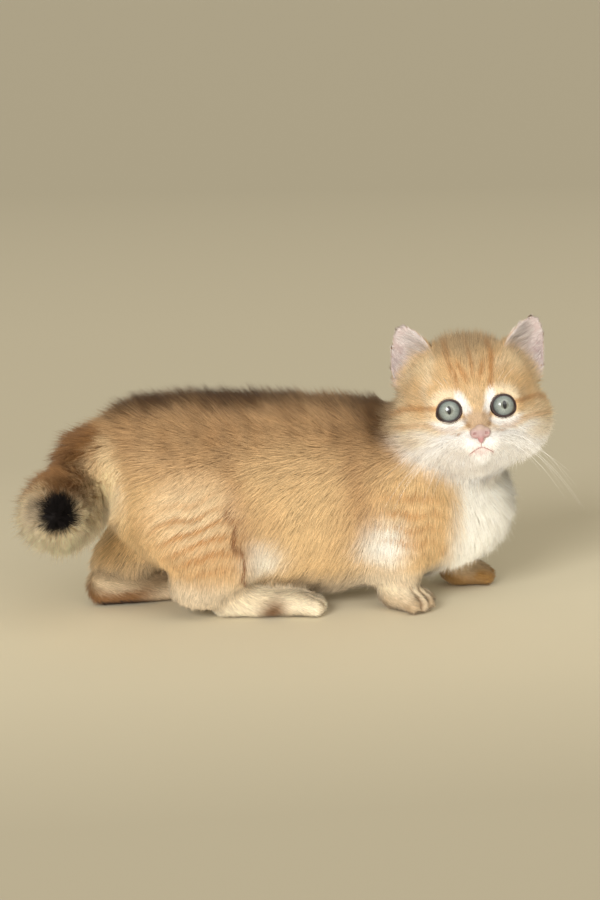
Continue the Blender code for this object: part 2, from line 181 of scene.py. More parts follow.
def remeshed(points, faces, voxel, softening=0):  # these closed forms melted into one even skin
    mesh = bpy.data.meshes.new("coarse")
    mesh.from_pydata(list(points), [], faces)
    coarse = added("coarse", mesh)
    melt = coarse.modifiers.new("melt", "REMESH")
    melt.mode = "VOXEL"
    melt.voxel_size = voxel / 1000
    if softening:
        coarse.modifiers.new("soften", "SMOOTH").iterations = softening
    fine = coarse.evaluated_get(bpy.context.evaluated_depsgraph_get()).to_mesh()
    fine.calc_loop_triangles()
    places = np.zeros(len(fine.vertices) * 3)
    fine.vertices.foreach_get("co", places)
    triangles = np.zeros(len(fine.loop_triangles) * 3, int)
    fine.loop_triangles.foreach_get("vertices", triangles)
    edges = np.zeros(len(fine.edges) * 2, int)
    fine.edges.foreach_get("vertices", edges)
    bpy.data.objects.remove(coarse)
    return places.reshape(-1, 3), triangles.reshape(-1, 3), edges.reshape(-1, 2)


def meltedShell():  # every node of flesh grown over its gap and melted into one closed skin
    points, grown, faces, owners = [], [], [], []
    for name in fleshNodes:
        nodePoints, nodeNormals, nodeFaces = mergedNode(name)
        first = len(points)
        points += list(nodePoints)
        grown += list(nodePoints + nodeNormals * skinLook["grown"] / 1000)
        faces += [[first + i for i in face] for face in nodeFaces]
        owners += [groups.index(name.split("_")[0])] * len(nodeFaces)
    skinPoints, triangles, edges = remeshed(grown, faces, skinLook["voxel"])
    tree = BVHTree.FromPolygons([Vector(p) for p in points], faces)
    owner = np.array([owners[tree.find_nearest(Vector(p))[2]] for p in skinPoints])
    return skinPoints, triangles, edges, owner


skinPoints, skinTriangles, skinEdges, skinOwner = meltedShell()
vertexCount = len(skinPoints)
neighbours = np.bincount(skinEdges.ravel(), minlength=vertexCount)


def ownedBy(*names):  # which points of the skin lie on these parts
    return np.isin(skinOwner, [groups.index(name) for name in names])


def evened(values, rounds):  # each point takes the mean of its neighbours, that many times
    flat = values.reshape(vertexCount, -1)
    one, other = skinEdges.T
    for _ in range(rounds):
        total = np.empty_like(flat)
        for k in range(flat.shape[1]):
            total[:, k] = np.bincount(one, flat[other, k], vertexCount)
            total[:, k] += np.bincount(other, flat[one, k], vertexCount)
        flat = (flat + total) / (1 + neighbours)[:, None]
    return flat.reshape(values.shape)


def normalsOf(points):
    corners = points[skinTriangles]
    across = np.cross(corners[:, 1] - corners[:, 0], corners[:, 2] - corners[:, 0])
    total = np.zeros((vertexCount, 3))
    for corner in range(3):
        for k in range(3):
            total[:, k] += np.bincount(skinTriangles[:, corner], across[:, k], vertexCount)
    return unit(total)


def earFrame(side):  # turn and root of an ear in the head's own axes: it opens towards -Y and rises along +Z
    lean = Matrix.Rotation(math.radians(side * kitten["earLean"][side > 0]), 3, "Y")
    turn = np.array(lean @ Matrix.Rotation(math.radians(side * kitten["earOpen"]), 3, "Z"))
    across, depth, up = kitten["earPlace"]
    return turn, np.array((side * across, depth, up))


def eyeFrame(side):  # turn and middle of an eye in the head's own axes
    across, depth, up = kitten["eyePlace"]
    axis = Vector((kitten["eyeAxis"][0] * side, *kitten["eyeAxis"][1:])).normalized()
    turn = np.array(axis.to_track_quat("Z", "X").to_matrix())
    return turn, np.array((side * across, depth, up))


def lidEdge(flat):  # how far the lids' edge is from the middle of the eye, by the way seen from there
    ways = unit(flat)
    sideways, corner = np.abs(ways[:, 1]), np.clip(ways @ lidLook["cornerWay"], 0, 1)
    edge = lidLook["high"] + (lidLook["wide"] - lidLook["high"]) * sideways**2
    return edge * (1 + lidLook["cornerReach"] * corner ** lidLook["cornerNarrow"])


def eyeReach(local):  # how far places in front of the face are from the nearer eye's axis
    nearest = np.full(len(local), 99.0)
    for side in (-1, 1):
        turn, middle = eyeFrame(side)
        seen = (local - middle) @ turn
        reach = np.where(seen[:, 2] > -4, lengths(seen[:, :2]), 99)
        nearest = np.minimum(nearest, reach)
    return nearest


def lidsFar(local):  # how far places on the face are outside the lids' edge
    nearest = np.full(len(local), 99.0)
    for side in (-1, 1):
        turn, middle = eyeFrame(side)
        seen = (local - middle) @ turn * (1, -side, 1)
        off = lengths(seen[:, :2]) - lidEdge(seen[:, :2])
        nearest = np.where((seen[:, 2] > -4) & (off < nearest), off, nearest)
    return nearest


# Seen from in front, as up and towards the nose, in the eye's own axes; the round CAD lids are wider open
lidLook = {
    "wide": 5.85,
    "high": 5.2,
    "cornerWay": np.array((-0.42, 0.91)),
    "cornerReach": 0.16,
    "cornerNarrow": 10,
    "skinEdge": 0.75,  # how far outside the edge the skin's own lid ends
    "wideOpen": 7.0,  # where the skin's lid stands before it is closed
    "off": 0.25,  # and how far it keeps off the eyeball
}


def closedLids(points):  # draws the skin in over each eyeball, to the lids' real edge
    local = toHead(fromWorld(points))
    for side in (-1, 1):
        turn, middle = eyeFrame(side)
        seen = (local - middle) @ turn * (1, -side, 1)
        flat, out = seen[:, :2], seen[:, 2]
        reach = np.maximum(lengths(flat), 1e-6)
        front = (out > 1.5) & (reach < 13)
        close = lidLook["wideOpen"] - lidEdge(flat) - lidLook["skinEdge"]
        inward = close * ramp(reach, 12, 7.2) * ramp(reach, 3.5, 6)
        flat = flat * (1 - inward / reach)[:, None]
        reach = lengths(flat)
        clear = kitten["eyeRadius"] + lidLook["off"]
        over = np.sqrt(np.maximum(clear**2 - reach**2, 0))
        moved = np.concatenate([flat, np.where(reach < clear, np.maximum(out, over), out)[:, None]], 1)
        local = np.where(front[:, None], moved * (1, -side, 1) @ turn.T + middle, local)
    return headToWorld(local)


# Length and lift of the coat by the part it grows on, in millimetres and degrees from the skin
coatLook = {
    "head": {"length": 4, "lift": 30},
    "ear": {"length": 2.4, "lift": 9.6},
    "neck": {"length": 11, "lift": 24},
    "torso": {"length": 11, "lift": 20},
    "tail": {"length": 12, "lift": 38},
    "hindleg": {"length": 9, "lift": 19},
    "foreleg": {"length": 8, "lift": 20},
    "forepaw": {"length": 3.2, "lift": 28},
    "hindfoot": {"length": 3.4, "lift": 28},
    "heel": {"length": 6.5, "along": (12, 0)},  # where along the foot its longer coat begins and is full
    "backLift": 44,
    "chestLift": 32,
    "tailTipLift": 60,
    "tailTipLength": 9,
    "noseEnd": (0, -40, -12),
    "faceShortest": 1.4,
    "atNose": 0.6,
    "perStep": 0.13,  # how much longer the head's coat gets away from the nose, to its longest
    "crown": {"longer": 1.6, "lift": 8, "heights": (26, 38)},  # what the top of the head has more
    "faceLift": 24,
    "backLifts": {"more": 18, "far": (25, 56)},  # and the back of it, by how far it is from the nose
    "headLongest": 7.6,
    "chinLongest": 9.5,
    "earFront": ((24, -13, 25), (11, 12, 12)),  # where the fur is short, so that the ears' insides show
    "earShorter": 0.6,
    "earHairs": {"length": 10, "lift": 26},  # the long ones that cross each ear's cup
    "shareInside": 0.8,  # of the coat's height, how much the skin lies below the outline
    "deepest": 6.2,
    "earThinning": 0.65,
    "toeGroove": 2.1,
}


def toeGrooves(places):  # 1 along the creases between the toes, seen from above
    found = np.zeros(len(places))
    for kind in ("forepaw", "hindfoot"):
        for (middle, heading), side in zip(kitten[kind], (-1, 1)):
            angle = math.radians(heading)
            own = places[:, :2] - np.array(middle)
            own = own @ np.array(((math.cos(angle), -math.sin(angle)), (math.sin(angle), math.cos(angle))))
            near = ramp(lengths(own - (6, 0)), 26, 20) * (places[:, 1] * side > 0)
            root, reach, directions = kitten[f"{kind}Toes"]
            turns = np.radians(directions)
            tips = np.stack([root + reach * np.cos(turns), reach * np.sin(turns) * 1.25], 1)
            roots = np.stack([np.full(4, root), tips[:, 1] * 0.7], 1)
            for k in range(3):
                start, end = (roots[k] + roots[k + 1]) / 2, (tips[k] + tips[k + 1]) / 2
                off = awayFromLine(own, [start + (end - start) * 0.25, start + (end - start) * 1.6])
                found = np.maximum(found, np.exp(-((off / 0.95) ** 2)) * near)
    return found


def coatFields():
    places = fromWorld(skinPoints)
    local = toHead(places)
    length = np.array([coatLook[g]["length"] for g in groups], float)[skinOwner]
    lift = np.array([coatLook[g]["lift"] for g in groups], float)[skinOwner]
    onHead = ownedBy("head")
    fromNose = lengths(local - np.array(coatLook["noseEnd"]))
    onCrown = ramp(local[:, 2], *coatLook["crown"]["heights"])
    headLength = coatLook["atNose"] + coatLook["perStep"] * fromNose
    headLength = np.clip(headLength, coatLook["faceShortest"], coatLook["headLongest"])
    headLength += coatLook["crown"]["longer"] * onCrown
    headLength = np.maximum(headLength, coatLook["chinLongest"] * ramp(local[:, 2], -23, -34))
    length = np.where(onHead, headLength, length)
    back = coatLook["backLifts"]
    headLift = coatLook["faceLift"] + back["more"] * ramp(fromNose, *back["far"])
    lift = np.where(onHead, headLift + coatLook["crown"]["lift"] * onCrown, lift)
    centre, radii = coatLook["earFront"]
    for side in (-1, 1):
        byEar = patch(local, np.array(centre) * (side, 1, 1), radii)
        length = np.where(onHead, length * (1 - coatLook["earShorter"] * byEar), length)
    onTrunk = ownedBy("torso", "neck")
    onBack = onTrunk * ramp(places[:, 2], 84, 114)
    lift += (coatLook["backLift"] - coatLook["torso"]["lift"]) * onBack
    onChest = onTrunk * ramp(places[:, 0], 66, 92) * (1 - onBack)
    lift += (coatLook["chestLift"] - coatLook["torso"]["lift"]) * onChest
    tipward = ownedBy("tail") * ramp(places[:, 1], -50, -68)
    lift += (coatLook["tailTipLift"] - coatLook["tail"]["lift"]) * tipward
    length += (coatLook["tailTipLength"] - coatLook["tail"]["length"]) * tipward
    onHeel = np.zeros(len(places))
    for ((x, y), heading), side in zip(kitten["hindfoot"], (-1, 1)):
        angle = math.radians(heading)
        along = (places[:, 0] - x) * math.cos(angle) + (places[:, 1] - y) * math.sin(angle)
        onHeel = np.where(places[:, 1] * side > 0, ramp(along, *coatLook["heel"]["along"]), onHeel)
    onHeel *= ownedBy("hindfoot") * ramp(places[:, 2], 2, 9)
    length += (coatLook["heel"]["length"] - coatLook["hindfoot"]["length"]) * onHeel
    downLeg = 0.5 + 0.5 * ramp(places[:, 2], 16, 46)
    length = np.where(ownedBy("hindleg", "foreleg"), length * downLeg, length)
    length, lift = evened(np.stack([length, lift], 1), skinLook["evening"]).T
    byEye = np.clip(1.0 + 0.5 * (eyeReach(local) - 7.2), 1.0, 99)  # it stays short where it meets the lids
    return np.where(onHead, np.minimum(length, byEye), length), lift


def earHairs(local, normals):  # 1 where the long hairs root, along the inner side of each ear's cup
    found = np.zeros(len(local))
    for side in (-1, 1):
        turn, root = earFrame(side)
        own = (local - root) @ turn * (side, 1, 1)
        near = ramp(own[:, 0], 3, -5) * ramp(own[:, 2], 4, 9) * ramp(own[:, 2], 36, 28)
        found = np.where(local[:, 0] * side > 0, near, found)
    return found * insideEar(local, normals)


def insideEar(local, normals):  # 1 on the hollow side of an ear, 0 on its back
    found = np.zeros(len(local))
    for side in (-1, 1):
        turn, root = earFrame(side)
        own, facing = (local - root) @ turn, normals @ turn
        hollow = np.stack([-own[:, 0], -9 - own[:, 1], 0 * own[:, 2]], 1)
        inner = ramp((unit(hollow) * facing).sum(1), -0.05, 0.25)
        found = np.where(local[:, 0] * side > 0, inner, found)
    return found


coatLength, coatLift = coatFields()
onEar = evened(ownedBy("ear").astype(float), 2)
depth = np.minimum(coatLength * np.sin(np.radians(coatLift)) * coatLook["shareInside"], coatLook["deepest"])
depth += skinLook["grown"]
depth = np.where(onEar > 0.5, coatLook["earThinning"], depth)
onPaws = ownedBy("forepaw", "hindfoot")
grooves = toeGrooves(fromWorld(skinPoints)) * onPaws * ramp(fromWorld(skinPoints)[:, 2], 1.5, 4)
depth += coatLook["toeGroove"] * grooves
stiff = np.clip(onEar * 1.3 + 0.7 * onPaws, 0, 1)[:, None]
for step in range(skinLook["steps"]):
    skinPoints = skinPoints - normalsOf(skinPoints) * (depth / 1000 / skinLook["steps"])[:, None]
    softer = evened(skinPoints, skinLook["softening"])
    skinPoints = softer + (skinPoints - softer) * stiff
skinPoints = closedLids(skinPoints)
skinNormals = normalsOf(skinPoints)
skinPlaces = fromWorld(skinPoints)
groupShares = evened((skinOwner[:, None] == np.arange(len(groups))).astype(float), 10)
longInside = earHairs(toHead(skinPlaces), skinNormals @ headTurn) * onEar
coatLength = coatLength + (coatLook["earHairs"]["length"] - coatLength) * longInside
coatLift = coatLift + (coatLook["earHairs"]["lift"] - coatLift) * longInside
print("  points", vertexCount, "triangles", len(skinTriangles))


print("the markings")
coatTones = {
    "gold": tone(219, 185, 136),
    "upper": tone(190, 152, 108),
    "ridge": tone(106, 72, 36),
    # painted shade: the belly's greyer cream, darkened as the shade under the body
    "shadedBelly": tone(188, 170, 144),
    "cream": tone(240, 222, 192),
    "white": tone(242, 237, 230),
    "bib": tone(248, 243, 230),
    "stripe": tone(182, 128, 74),
    "umber": tone(130, 86, 40),
    # painted shade: the tone that darkens the far paws in the body's shadow; it also mottles the forepaws'
    # toes
    "pawShadeAndMottle": tone(150, 114, 66),
    "smudge": tone(112, 72, 30),
    # painted shade: the dark tone of the crease in front of the thigh and of the creases between the toes
    "crease": tone(128, 84, 50),
    "soot": tone(26, 18, 15),
    "tailSide": tone(250, 218, 168),
    "tailCream": tone(255, 232, 190),
    "tailTop": tone(150, 98, 44),
    "smoke": tone(142, 126, 108),
    "crown": tone(196, 168, 130),
    "face": tone(218, 182, 134),
    "cheek": tone(232, 206, 166),
    "bridge": tone(200, 172, 142),
    "paw": tone(238, 218, 184),
    "toe": tone(238, 221, 192),
    "sole": tone(58, 40, 32),
    "earBack": tone(196, 158, 112),
    "earInside": tone(228, 214, 206),
    "earSkin": tone(172, 150, 146),
    "lip": tone(204, 158, 150),
    "tip": tone(52, 36, 24),
}
coatTones["legStripe"] = mixed(coatTones["stripe"], coatTones["gold"], 0.1)

# The features of the coat's pattern, in the kitten's own millimetres and on its right side
markings = {
    "elbowPatch": ((41, -41, 43), (15, 18, 17)),
    "groinPatch": ((-26, -35, 38), (17, 18, 13)),
    "shoulder": ((56, -41, 58), (24, 20, 24)),
    "thigh": ((-60, -44, 52), (26, 20, 24)),
    "underThigh": ((-60, -44, 38), (26, 20, 20)),
    "hip": ((-62, -44, 66), (28, 20, 22)),
    # where the painted shade of the crease in front of the thigh runs
    "crease": [(-43, 67), (-39, 58), (-41, 50), (-37, 40), (-37, 29), (-33, 20)],
    "shadeBands": ((-38, 8), (29, 7)),  # painted shade: darker brownish bands down the flank, in front of the thigh and behind the foreleg, as places along it and half widths
    "nape": ((46, -16, 106), (17, 30, 15)),
    "tailBlack": ((-136.5, -71, 74), (11.5, 15, 13)),
    "tailSmoke": ((-151, -61, 76), (10, 18, 14)),
    "tailEnd": (-116, -132),  # where the tail's side gives way to its pale end, along the kitten
    "tailDorsal": ((-0.72, 0.05, 0.7), (0.25, 0.1, 0.96)),  # the brown side's way, up the tail and at its end
    "footSmudge": ((-22, -36, 4), (9, 11, 9)),
    "farHeel": (-74, -94),
}

# The face's pattern, as across and up in the head's own millimetres; both sides are alike
faceMarks = {
    "outerStripe": [(8.9, 8.5), (9.6, 18), (11.2, 27), (9.5, 38)],
    "innerStripe": [(3.3, 13.8), (5.0, 18), (6.6, 22)],
    "middleStripe": [(0, 15), (0, 40)],
    "eyeStripe": [(20.5, 1.8), (26, 1.9), (32, 1.9), (40, -1)],
    "cheekStripe": [(13, -9.8), (18, -10), (24, -7.4), (30, -6.6), (38, -6.5)],
    "tearMark": [(6.9, -3.2), (6.3, -6.2), (5.2, -8.8)],
    "spectacle": [(8.8, 7.4), (6.7, 2.8), (5.0, -1.6)],
    "whiskerTicks": [(9.8, -12.4), (11.4, -12.8), (13.4, -12.3)],
    "mouth": [(7.0, -24.2), (5.6, -23.2), (3.6, -21.9), (1.8, -20.9), (0, -20.4)],
    "philtrum": [(0, -17.2), (0, -20.4)],
    "lowerLip": ((0, -22.8), (3.8, 1.6)),
    "earFoot": ((25, 23), (9, 9)),
    "goldenCheek": ((32, -14), (9, 4.5)),
    "cheekSide": ((41, 0), (12, 17)),
}
faceMarks["lips"] = faceMarks["mouth"][1:]

# How far from its line each stroke of the face begins and where it is full, and its share there
strokes = {
    "outerStripe": (2.72, 0.32, 0.8),
    "innerStripe": (2.21, 0.26, 0.8),
    "middleStripe": (2.04, 0.24, 0.5),
    "eyeStripe": (2.08, 0.39, 0.6),
    "cheekStripe": (2.08, 0.39, 0.3),
    "spectacle": (3.2, 1.1, 0.95),
    "tearMark": (1.6, 0.5, 0.5),
    "lips": (1.0, 0.3, 0.6),
}


def laid(colour, layers):  # tones laid over one another, each by its share
    for name, share in layers:
        colour = mixed(colour, coatTones[name], share)
    return colour


def pulled(places, front):  # the same place on the right side, where the features are given
    step = kitten["frontLegStep"] if front else kitten["hindLegStep"]
    own = places.copy()
    own[:, 0] -= np.where(places[:, 1] > 0, step, 0)
    own[:, 1] = -np.abs(places[:, 1])
    return own


def trunkTone(places):
    height = places[:, 2] + 5 * noise(places, 26, 1) + 3 * noise(places, 9, 2)
    clouds = np.clip(noise(places, (17, 60, 50), 3) + 0.5 * noise(places, (8, 20, 30), 4), 0, 1)
    streaks = np.clip(noise(places, (3.5, 14, 16), 16), 0, 1)
    leant = places[:, 0] + 0.15 * (places[:, 2] - 70)
    chest = ramp(places[:, 0] + 0.12 * (60 - height), 74, 90) * ramp(height, 96, 82)
    chest = np.maximum(chest, ramp(places[:, 1], 12, -4) * ramp(places[:, 0], 78, 88) * ramp(height, 112, 88))
    fore, hind = pulled(places, True), pulled(places, False)
    # painted shade beside the legs, down the flank
    shadeBands = [np.exp(-(((leant - along) / half) ** 2)) for along, half in markings["shadeBands"]]
    # painted shade: low on the trunk the coat is painted darker and greyer
    return laid(mixed(coatTones["shadedBelly"], coatTones["gold"], ramp(height, 14, 34)), [
        ("upper", 0.9 * ramp(height, 72, 98)),
        ("upper", 0.4 * clouds * ramp(height, 30, 60)),
        *[("upper", 0.85 * band * ramp(height, 22, 48)) for band in shadeBands],
        ("umber", 0.35 * streaks * ramp(height, 78, 100)),
        ("ridge", 0.95 * ramp(height, 108, 116)),
        ("ridge", 0.9 * patch(places, *markings["nape"])),
        ("bib", 0.95 * chest),
        ("bib", 0.9 * patch(fore, *markings["elbowPatch"])),
        ("bib", 0.65 * patch(hind, *markings["groinPatch"])),
        ("crease", 0.7 * creaseShade(hind)),
    ])


def creaseShade(hind):  # painted shade: the fine dark line where the coat parts in front of the thigh
    wander = 1.6 * noise(hind, 4, 5)
    off = awayFromLine(hind[:, ::2] + wander[:, None], markings["crease"])
    return ramp(off, 1.5, 0.4) * ramp(hind[:, 1], -26, -34)


def legTone(places, normals, front):
    own = pulled(places, front)
    x, z = own[:, 0], own[:, 2]
    if front:
        bend = z + 0.1 * (x - 55) + 3 * noise(own, 11, 6)
        stripes = ramp(np.sin(2 * np.pi * bend / 8.5), 0.2, 0.9) * patch(own, *markings["shoulder"])
        blotch = np.clip(noise(own, (8, 9, 5), 18) * 1.6, 0, 1)
        layers = [
            ("legStripe", 0.75 * stripes),
            ("legStripe", 0.7 * blotch * ramp(z, 52, 40) * ramp(x, 44, 52)),
            ("cream", 0.55 * ramp(z, 32, 20)),
        ]
    else:
        bend = z - 0.22 * (x + 60) + 0.006 * (x + 55) ** 2 + 3 * noise(own, 12, 7)
        stripes = ramp(np.sin(2 * np.pi * bend / 8), 0.2, 0.8) * patch(own, *markings["thigh"])
        layers = [
            ("upper", 0.55 * patch(own, *markings["underThigh"])),
            ("cream", 0.35 * patch(own, *markings["hip"])),
            ("legStripe", 0.95 * stripes),
            ("cream", 0.35 * ramp(z, 34, 20)),
            ("crease", 0.75 * creaseShade(own)),
        ]
    inside = ramp(np.where(places[:, 1] > 0, -normals[:, 1], normals[:, 1]), 0.2, 0.7)
    return laid(trunkTone(places), layers + [("cream", 0.7 * inside)])


def pawTone(places, front):
    x, y, z = places.T
    if front:
        mottle = 0.44 + 0.3 * np.clip(noise(places, 6, 8), 0, 1)
        # painted shade on the far forepaw, and a darker mottle towards the toes
        layers = [("pawShadeAndMottle", mottle * ramp(z, 15, 6) + 0.55 * ramp(y, 0, 12))]
    else:
        heel = ramp(x, *markings["farHeel"]) * ramp(y, 0, 6)
        layers = [
            ("smudge", 0.95 * patch(places, *markings["footSmudge"])),
            # painted shade on the far hind foot
            ("pawShadeAndMottle", 0.6 * ramp(y, 0, 10)),
            ("umber", 0.9 * heel * ramp(z + 3 * noise(places, 7, 24), 16, 7)),
            ("sole", 0.9 * heel * ramp(z, 4.5, 2.5)),
        ]
    grooves = toeGrooves(places) * ramp(z, 1.5, 4)
    # painted shade along the creases between the toes
    layers += [("crease", 0.85 * grooves**2), ("sole", 0.85 * ramp(z, 2.2, 0.8))]
    return laid(mixed(coatTones["paw"], coatTones["toe"], ramp(z, 14, 5)), layers)


def alongTail(places):  # the tail's own way, the way out from its middle line, and 1 on its last stretch
    line = np.array(kitten["tail"], float)
    best = np.full(len(places), 1e9)
    way, outward, last = np.zeros_like(places), np.zeros_like(places), np.zeros(len(places))
    for start, end in zip(line[:-1], line[1:]):
        along = end - start
        share = np.clip(((places - start) @ along) / (along @ along), 0, 1)
        away = places - start - share[:, None] * along
        far = lengths(away)
        closer = far < best
        way[closer] = unit(along[None])
        outward[closer] = away[closer]
        last[closer] = (end == line[-1]).all()
        best = np.minimum(best, far)
    return way, unit(outward), last


def tailTone(places):
    ball = ramp(places[:, 1] + 3 * noise(places, 9, 17), -28, -44)
    end = ball * ramp(places[:, 0] + 3 * noise(places, 7, 19), *markings["tailEnd"])
    topWay = mixed(*np.array(markings["tailDorsal"]), ball)
    dorsal = (alongTail(places)[1] * topWay).sum(1) + 0.25 * noise(places, 8, 9) - 0.25 * ball
    centre, radii = markings["tailBlack"]
    far = lengths((places - np.array(centre)) / np.array(radii)) + 0.2 * noise(places, 4, 10)
    return laid(coatTones["tailSide"], [
        ("tailTop", 0.9 * ramp(dorsal, 0.2, 0.75)),
        ("cream", 0.5 * ramp(dorsal, -0.2, -0.8)),
        ("tailCream", 0.9 * end * ramp(places[:, 2], 84, 66)),
        ("smoke", 0.85 * patch(places, *markings["tailSmoke"])),
        ("soot", ramp(far, 1.2, 0.75)),
    ])


def stroke(flat, line):  # how strong one of the face's strokes is
    outer, inner, share = strokes[line]
    return share * ramp(awayFromLine(flat, faceMarks[line]), outer, inner)


def headTone(local):
    x, y, z = np.abs(local[:, 0]), local[:, 1], local[:, 2]
    plain = np.stack([x, z], 1)
    flat = plain + 0.5 * np.stack([noise(local, 3.5, 12), noise(local, 3.5, 13)], 1)
    front = ramp(y, 2, -10)
    reach = eyeReach(local)
    flecks = np.clip(noise(local, (3, 6, 9), 20) + 0.1, 0, 1)
    feather = np.clip(0.8 + 0.7 * noise(local, (1.4, 3, 4.5), 23), 0.3, 1) * ramp(z, 40, 24) * front
    pale = np.maximum(ramp(z + 2 * noise(local, 8, 15), -7, -13), ramp(reach, 13, 10) * ramp(z, -3, -7))
    ticks = lengths((flat[:, None] - np.array(faceMarks["whiskerTicks"])).reshape(-1, 2) / (1.1, 0.45))
    centre, radii = faceMarks["lowerLip"]
    lowerLip = lengths((flat - np.array(centre)) / np.array(radii))
    return laid(coatTones["face"], [
        ("upper", 0.7 * ramp(y, -2, 16) * ramp(z, -8, 10)),
        ("cream", 0.5 * flecks * ramp(x, 8, 16)),
        ("crown", 0.9 * ramp(z + 4 * noise(local, 6, 14) - 0.3 * x, 17, 32)),
        ("crown", 0.5 * ramp(x, 7, 2.5) * ramp(z, 13, 24) * front),
        ("cheek", 0.75 * patch(plain, *faceMarks["earFoot"]) * front),
        *[("stripe", stroke(flat, f"{which}Stripe") * feather) for which in ("outer", "inner", "middle")],
        ("cream", 0.75 * ramp(reach, 13.5, 9) * ramp(z, -2, 6) * front),
        ("cream", 0.2 * ramp(x, 5.5, 1.5) * ramp(z, -4, 0) * ramp(z, 13, 8) * front),
        ("cream", 0.7 * ramp(z + 0.15 * x, 4, -4) * ramp(x, 14, 24)),
        ("white", 0.95 * pale * ramp(y, 16, -4)),
        ("cheek", 0.5 * patch(plain, *faceMarks["goldenCheek"]) * front),
        ("cheek", 0.8 * patch(plain, *faceMarks["cheekSide"])),
        *[("stripe", stroke(flat, f"{which}Stripe") * ramp(y, 8, -6)) for which in ("eye", "cheek")],
        ("white", stroke(flat, "spectacle") * front),
        ("bridge", 0.95 * ramp(x, 6.6, 3.8) * ramp(z, 0.5, -3.5) * ramp(z, -13, -11) * front),
        ("umber", stroke(flat, "tearMark") * front),
        ("stripe", 0.7 * ramp(ticks.reshape(len(flat), -1).min(1), 1.2, 0.4) * front),
        ("lip", stroke(flat, "lips") * front),
        ("lip", 0.4 * ramp(lowerLip, 1.1, 0.4) * front),
    ])


def earTone(local, normals):
    back = mixed(coatTones["earBack"], coatTones["tip"], 0.4 * ramp(local[:, 2], 41, 50))
    skinShows = 0.25 + 0.35 * ramp(local[:, 2], 40, 24) + 0.4 * ramp(np.abs(local[:, 0]), 24, 34)
    cup = mixed(coatTones["earInside"], coatTones["earSkin"], skinShows)
    return mixed(back, cup, insideEar(local, normals))


def coatTone(places, normals, shares):
    local = toHead(places)
    trunk = trunkTone(places)
    tones = {
        "head": headTone(local),
        "ear": earTone(local, normals @ headTurn),
        "neck": trunk,
        "torso": trunk,
        "tail": tailTone(places),
        "hindleg": legTone(places, normals, False),
        "foreleg": legTone(places, normals, True),
        "forepaw": pawTone(places, True),
        "hindfoot": pawTone(places, False),
    }
    return sum(tones[group] * shares[:, i][:, None] for i, group in enumerate(groups))


def darkTips(places, normals, shares):  # how dark the ends of the hairs are
    by = {group: shares[:, i] for i, group in enumerate(groups)}
    height = places[:, 2] + 5 * noise(places, 26, 1)
    streaks = np.clip(noise(places, (4, 12, 16), 16) + 0.2, 0, 1)
    trunk = 0.04 + (0.12 + 0.35 * streaks) * ramp(height, 62, 94) + 0.65 * ramp(height, 104, 116)
    trunk += 0.5 * patch(places, *markings["nape"])
    local = toHead(places)
    crown = 0.5 * ramp(local[:, 2], 24, 38) * ramp(np.abs(local[:, 0]), 34, 20)
    tailTop = np.array(markings["tailDorsal"][0])
    dorsal = 0.35 * ramp(normals @ tailTop, 0.1, 0.7) * ramp(places[:, 1], -36, -24)
    chest = ramp(places[:, 0], 76, 90) * ramp(height, 100, 84)
    return ((by["torso"] + by["neck"]) * trunk + by["head"] * crown + by["tail"] * dorsal) * (1 - chest)


print("the lie of the coat")
lieLook = {
    "evening": 26,
    "eyesPart": 1.3,  # how the coat parts round each eye, and how far off
    "eyesReach": 5,
    "tailSpread": 0.35,
    "inEar": (0.6, 0, 0.9),  # the lie inside the left ear, in its own axes
}


def tailwards(places):  # the tail's own direction, spreading at its end
    way, outward, last = alongTail(places)
    return way + lieLook["tailSpread"] * outward * last[:, None]


def vectors(x, y, z, count):
    return np.stack([np.broadcast_to(v, count) for v in (x, y, z)], 1).astype(float)


def lieOfHead(local):
    away = unit(local - np.array(coatLook["noseEnd"]))
    away[:, 1] += 0.5 * ramp(local[:, 2], 24, 42)
    away[:, 2] -= 0.35 * ramp(local[:, 2], -6, -22)
    chin = ramp(local[:, 2], -20, -32)
    away += chin[:, None] * (np.array((0, -0.3, -1.1)) - 0.5 * away)
    for side in (-1, 1):
        off = local - eyeFrame(side)[1]
        near = np.exp(-np.maximum(lengths(off) - kitten["eyeRadius"], 0) / lieLook["eyesReach"])
        away += lieLook["eyesPart"] * near[:, None] * unit(off)
    return away


def lieOfEar(local, normals):
    inside = insideEar(local, normals)
    total = np.zeros_like(local)
    for side in (-1, 1):
        turn = earFrame(side)[0]
        own = mixed(turn @ np.array((0, 0, 1.0)), turn @ (np.array(lieLook["inEar"]) * (side, 1, 1)), inside)
        total = np.where((local[:, 0] * side > 0)[:, None], own, total)
    return total


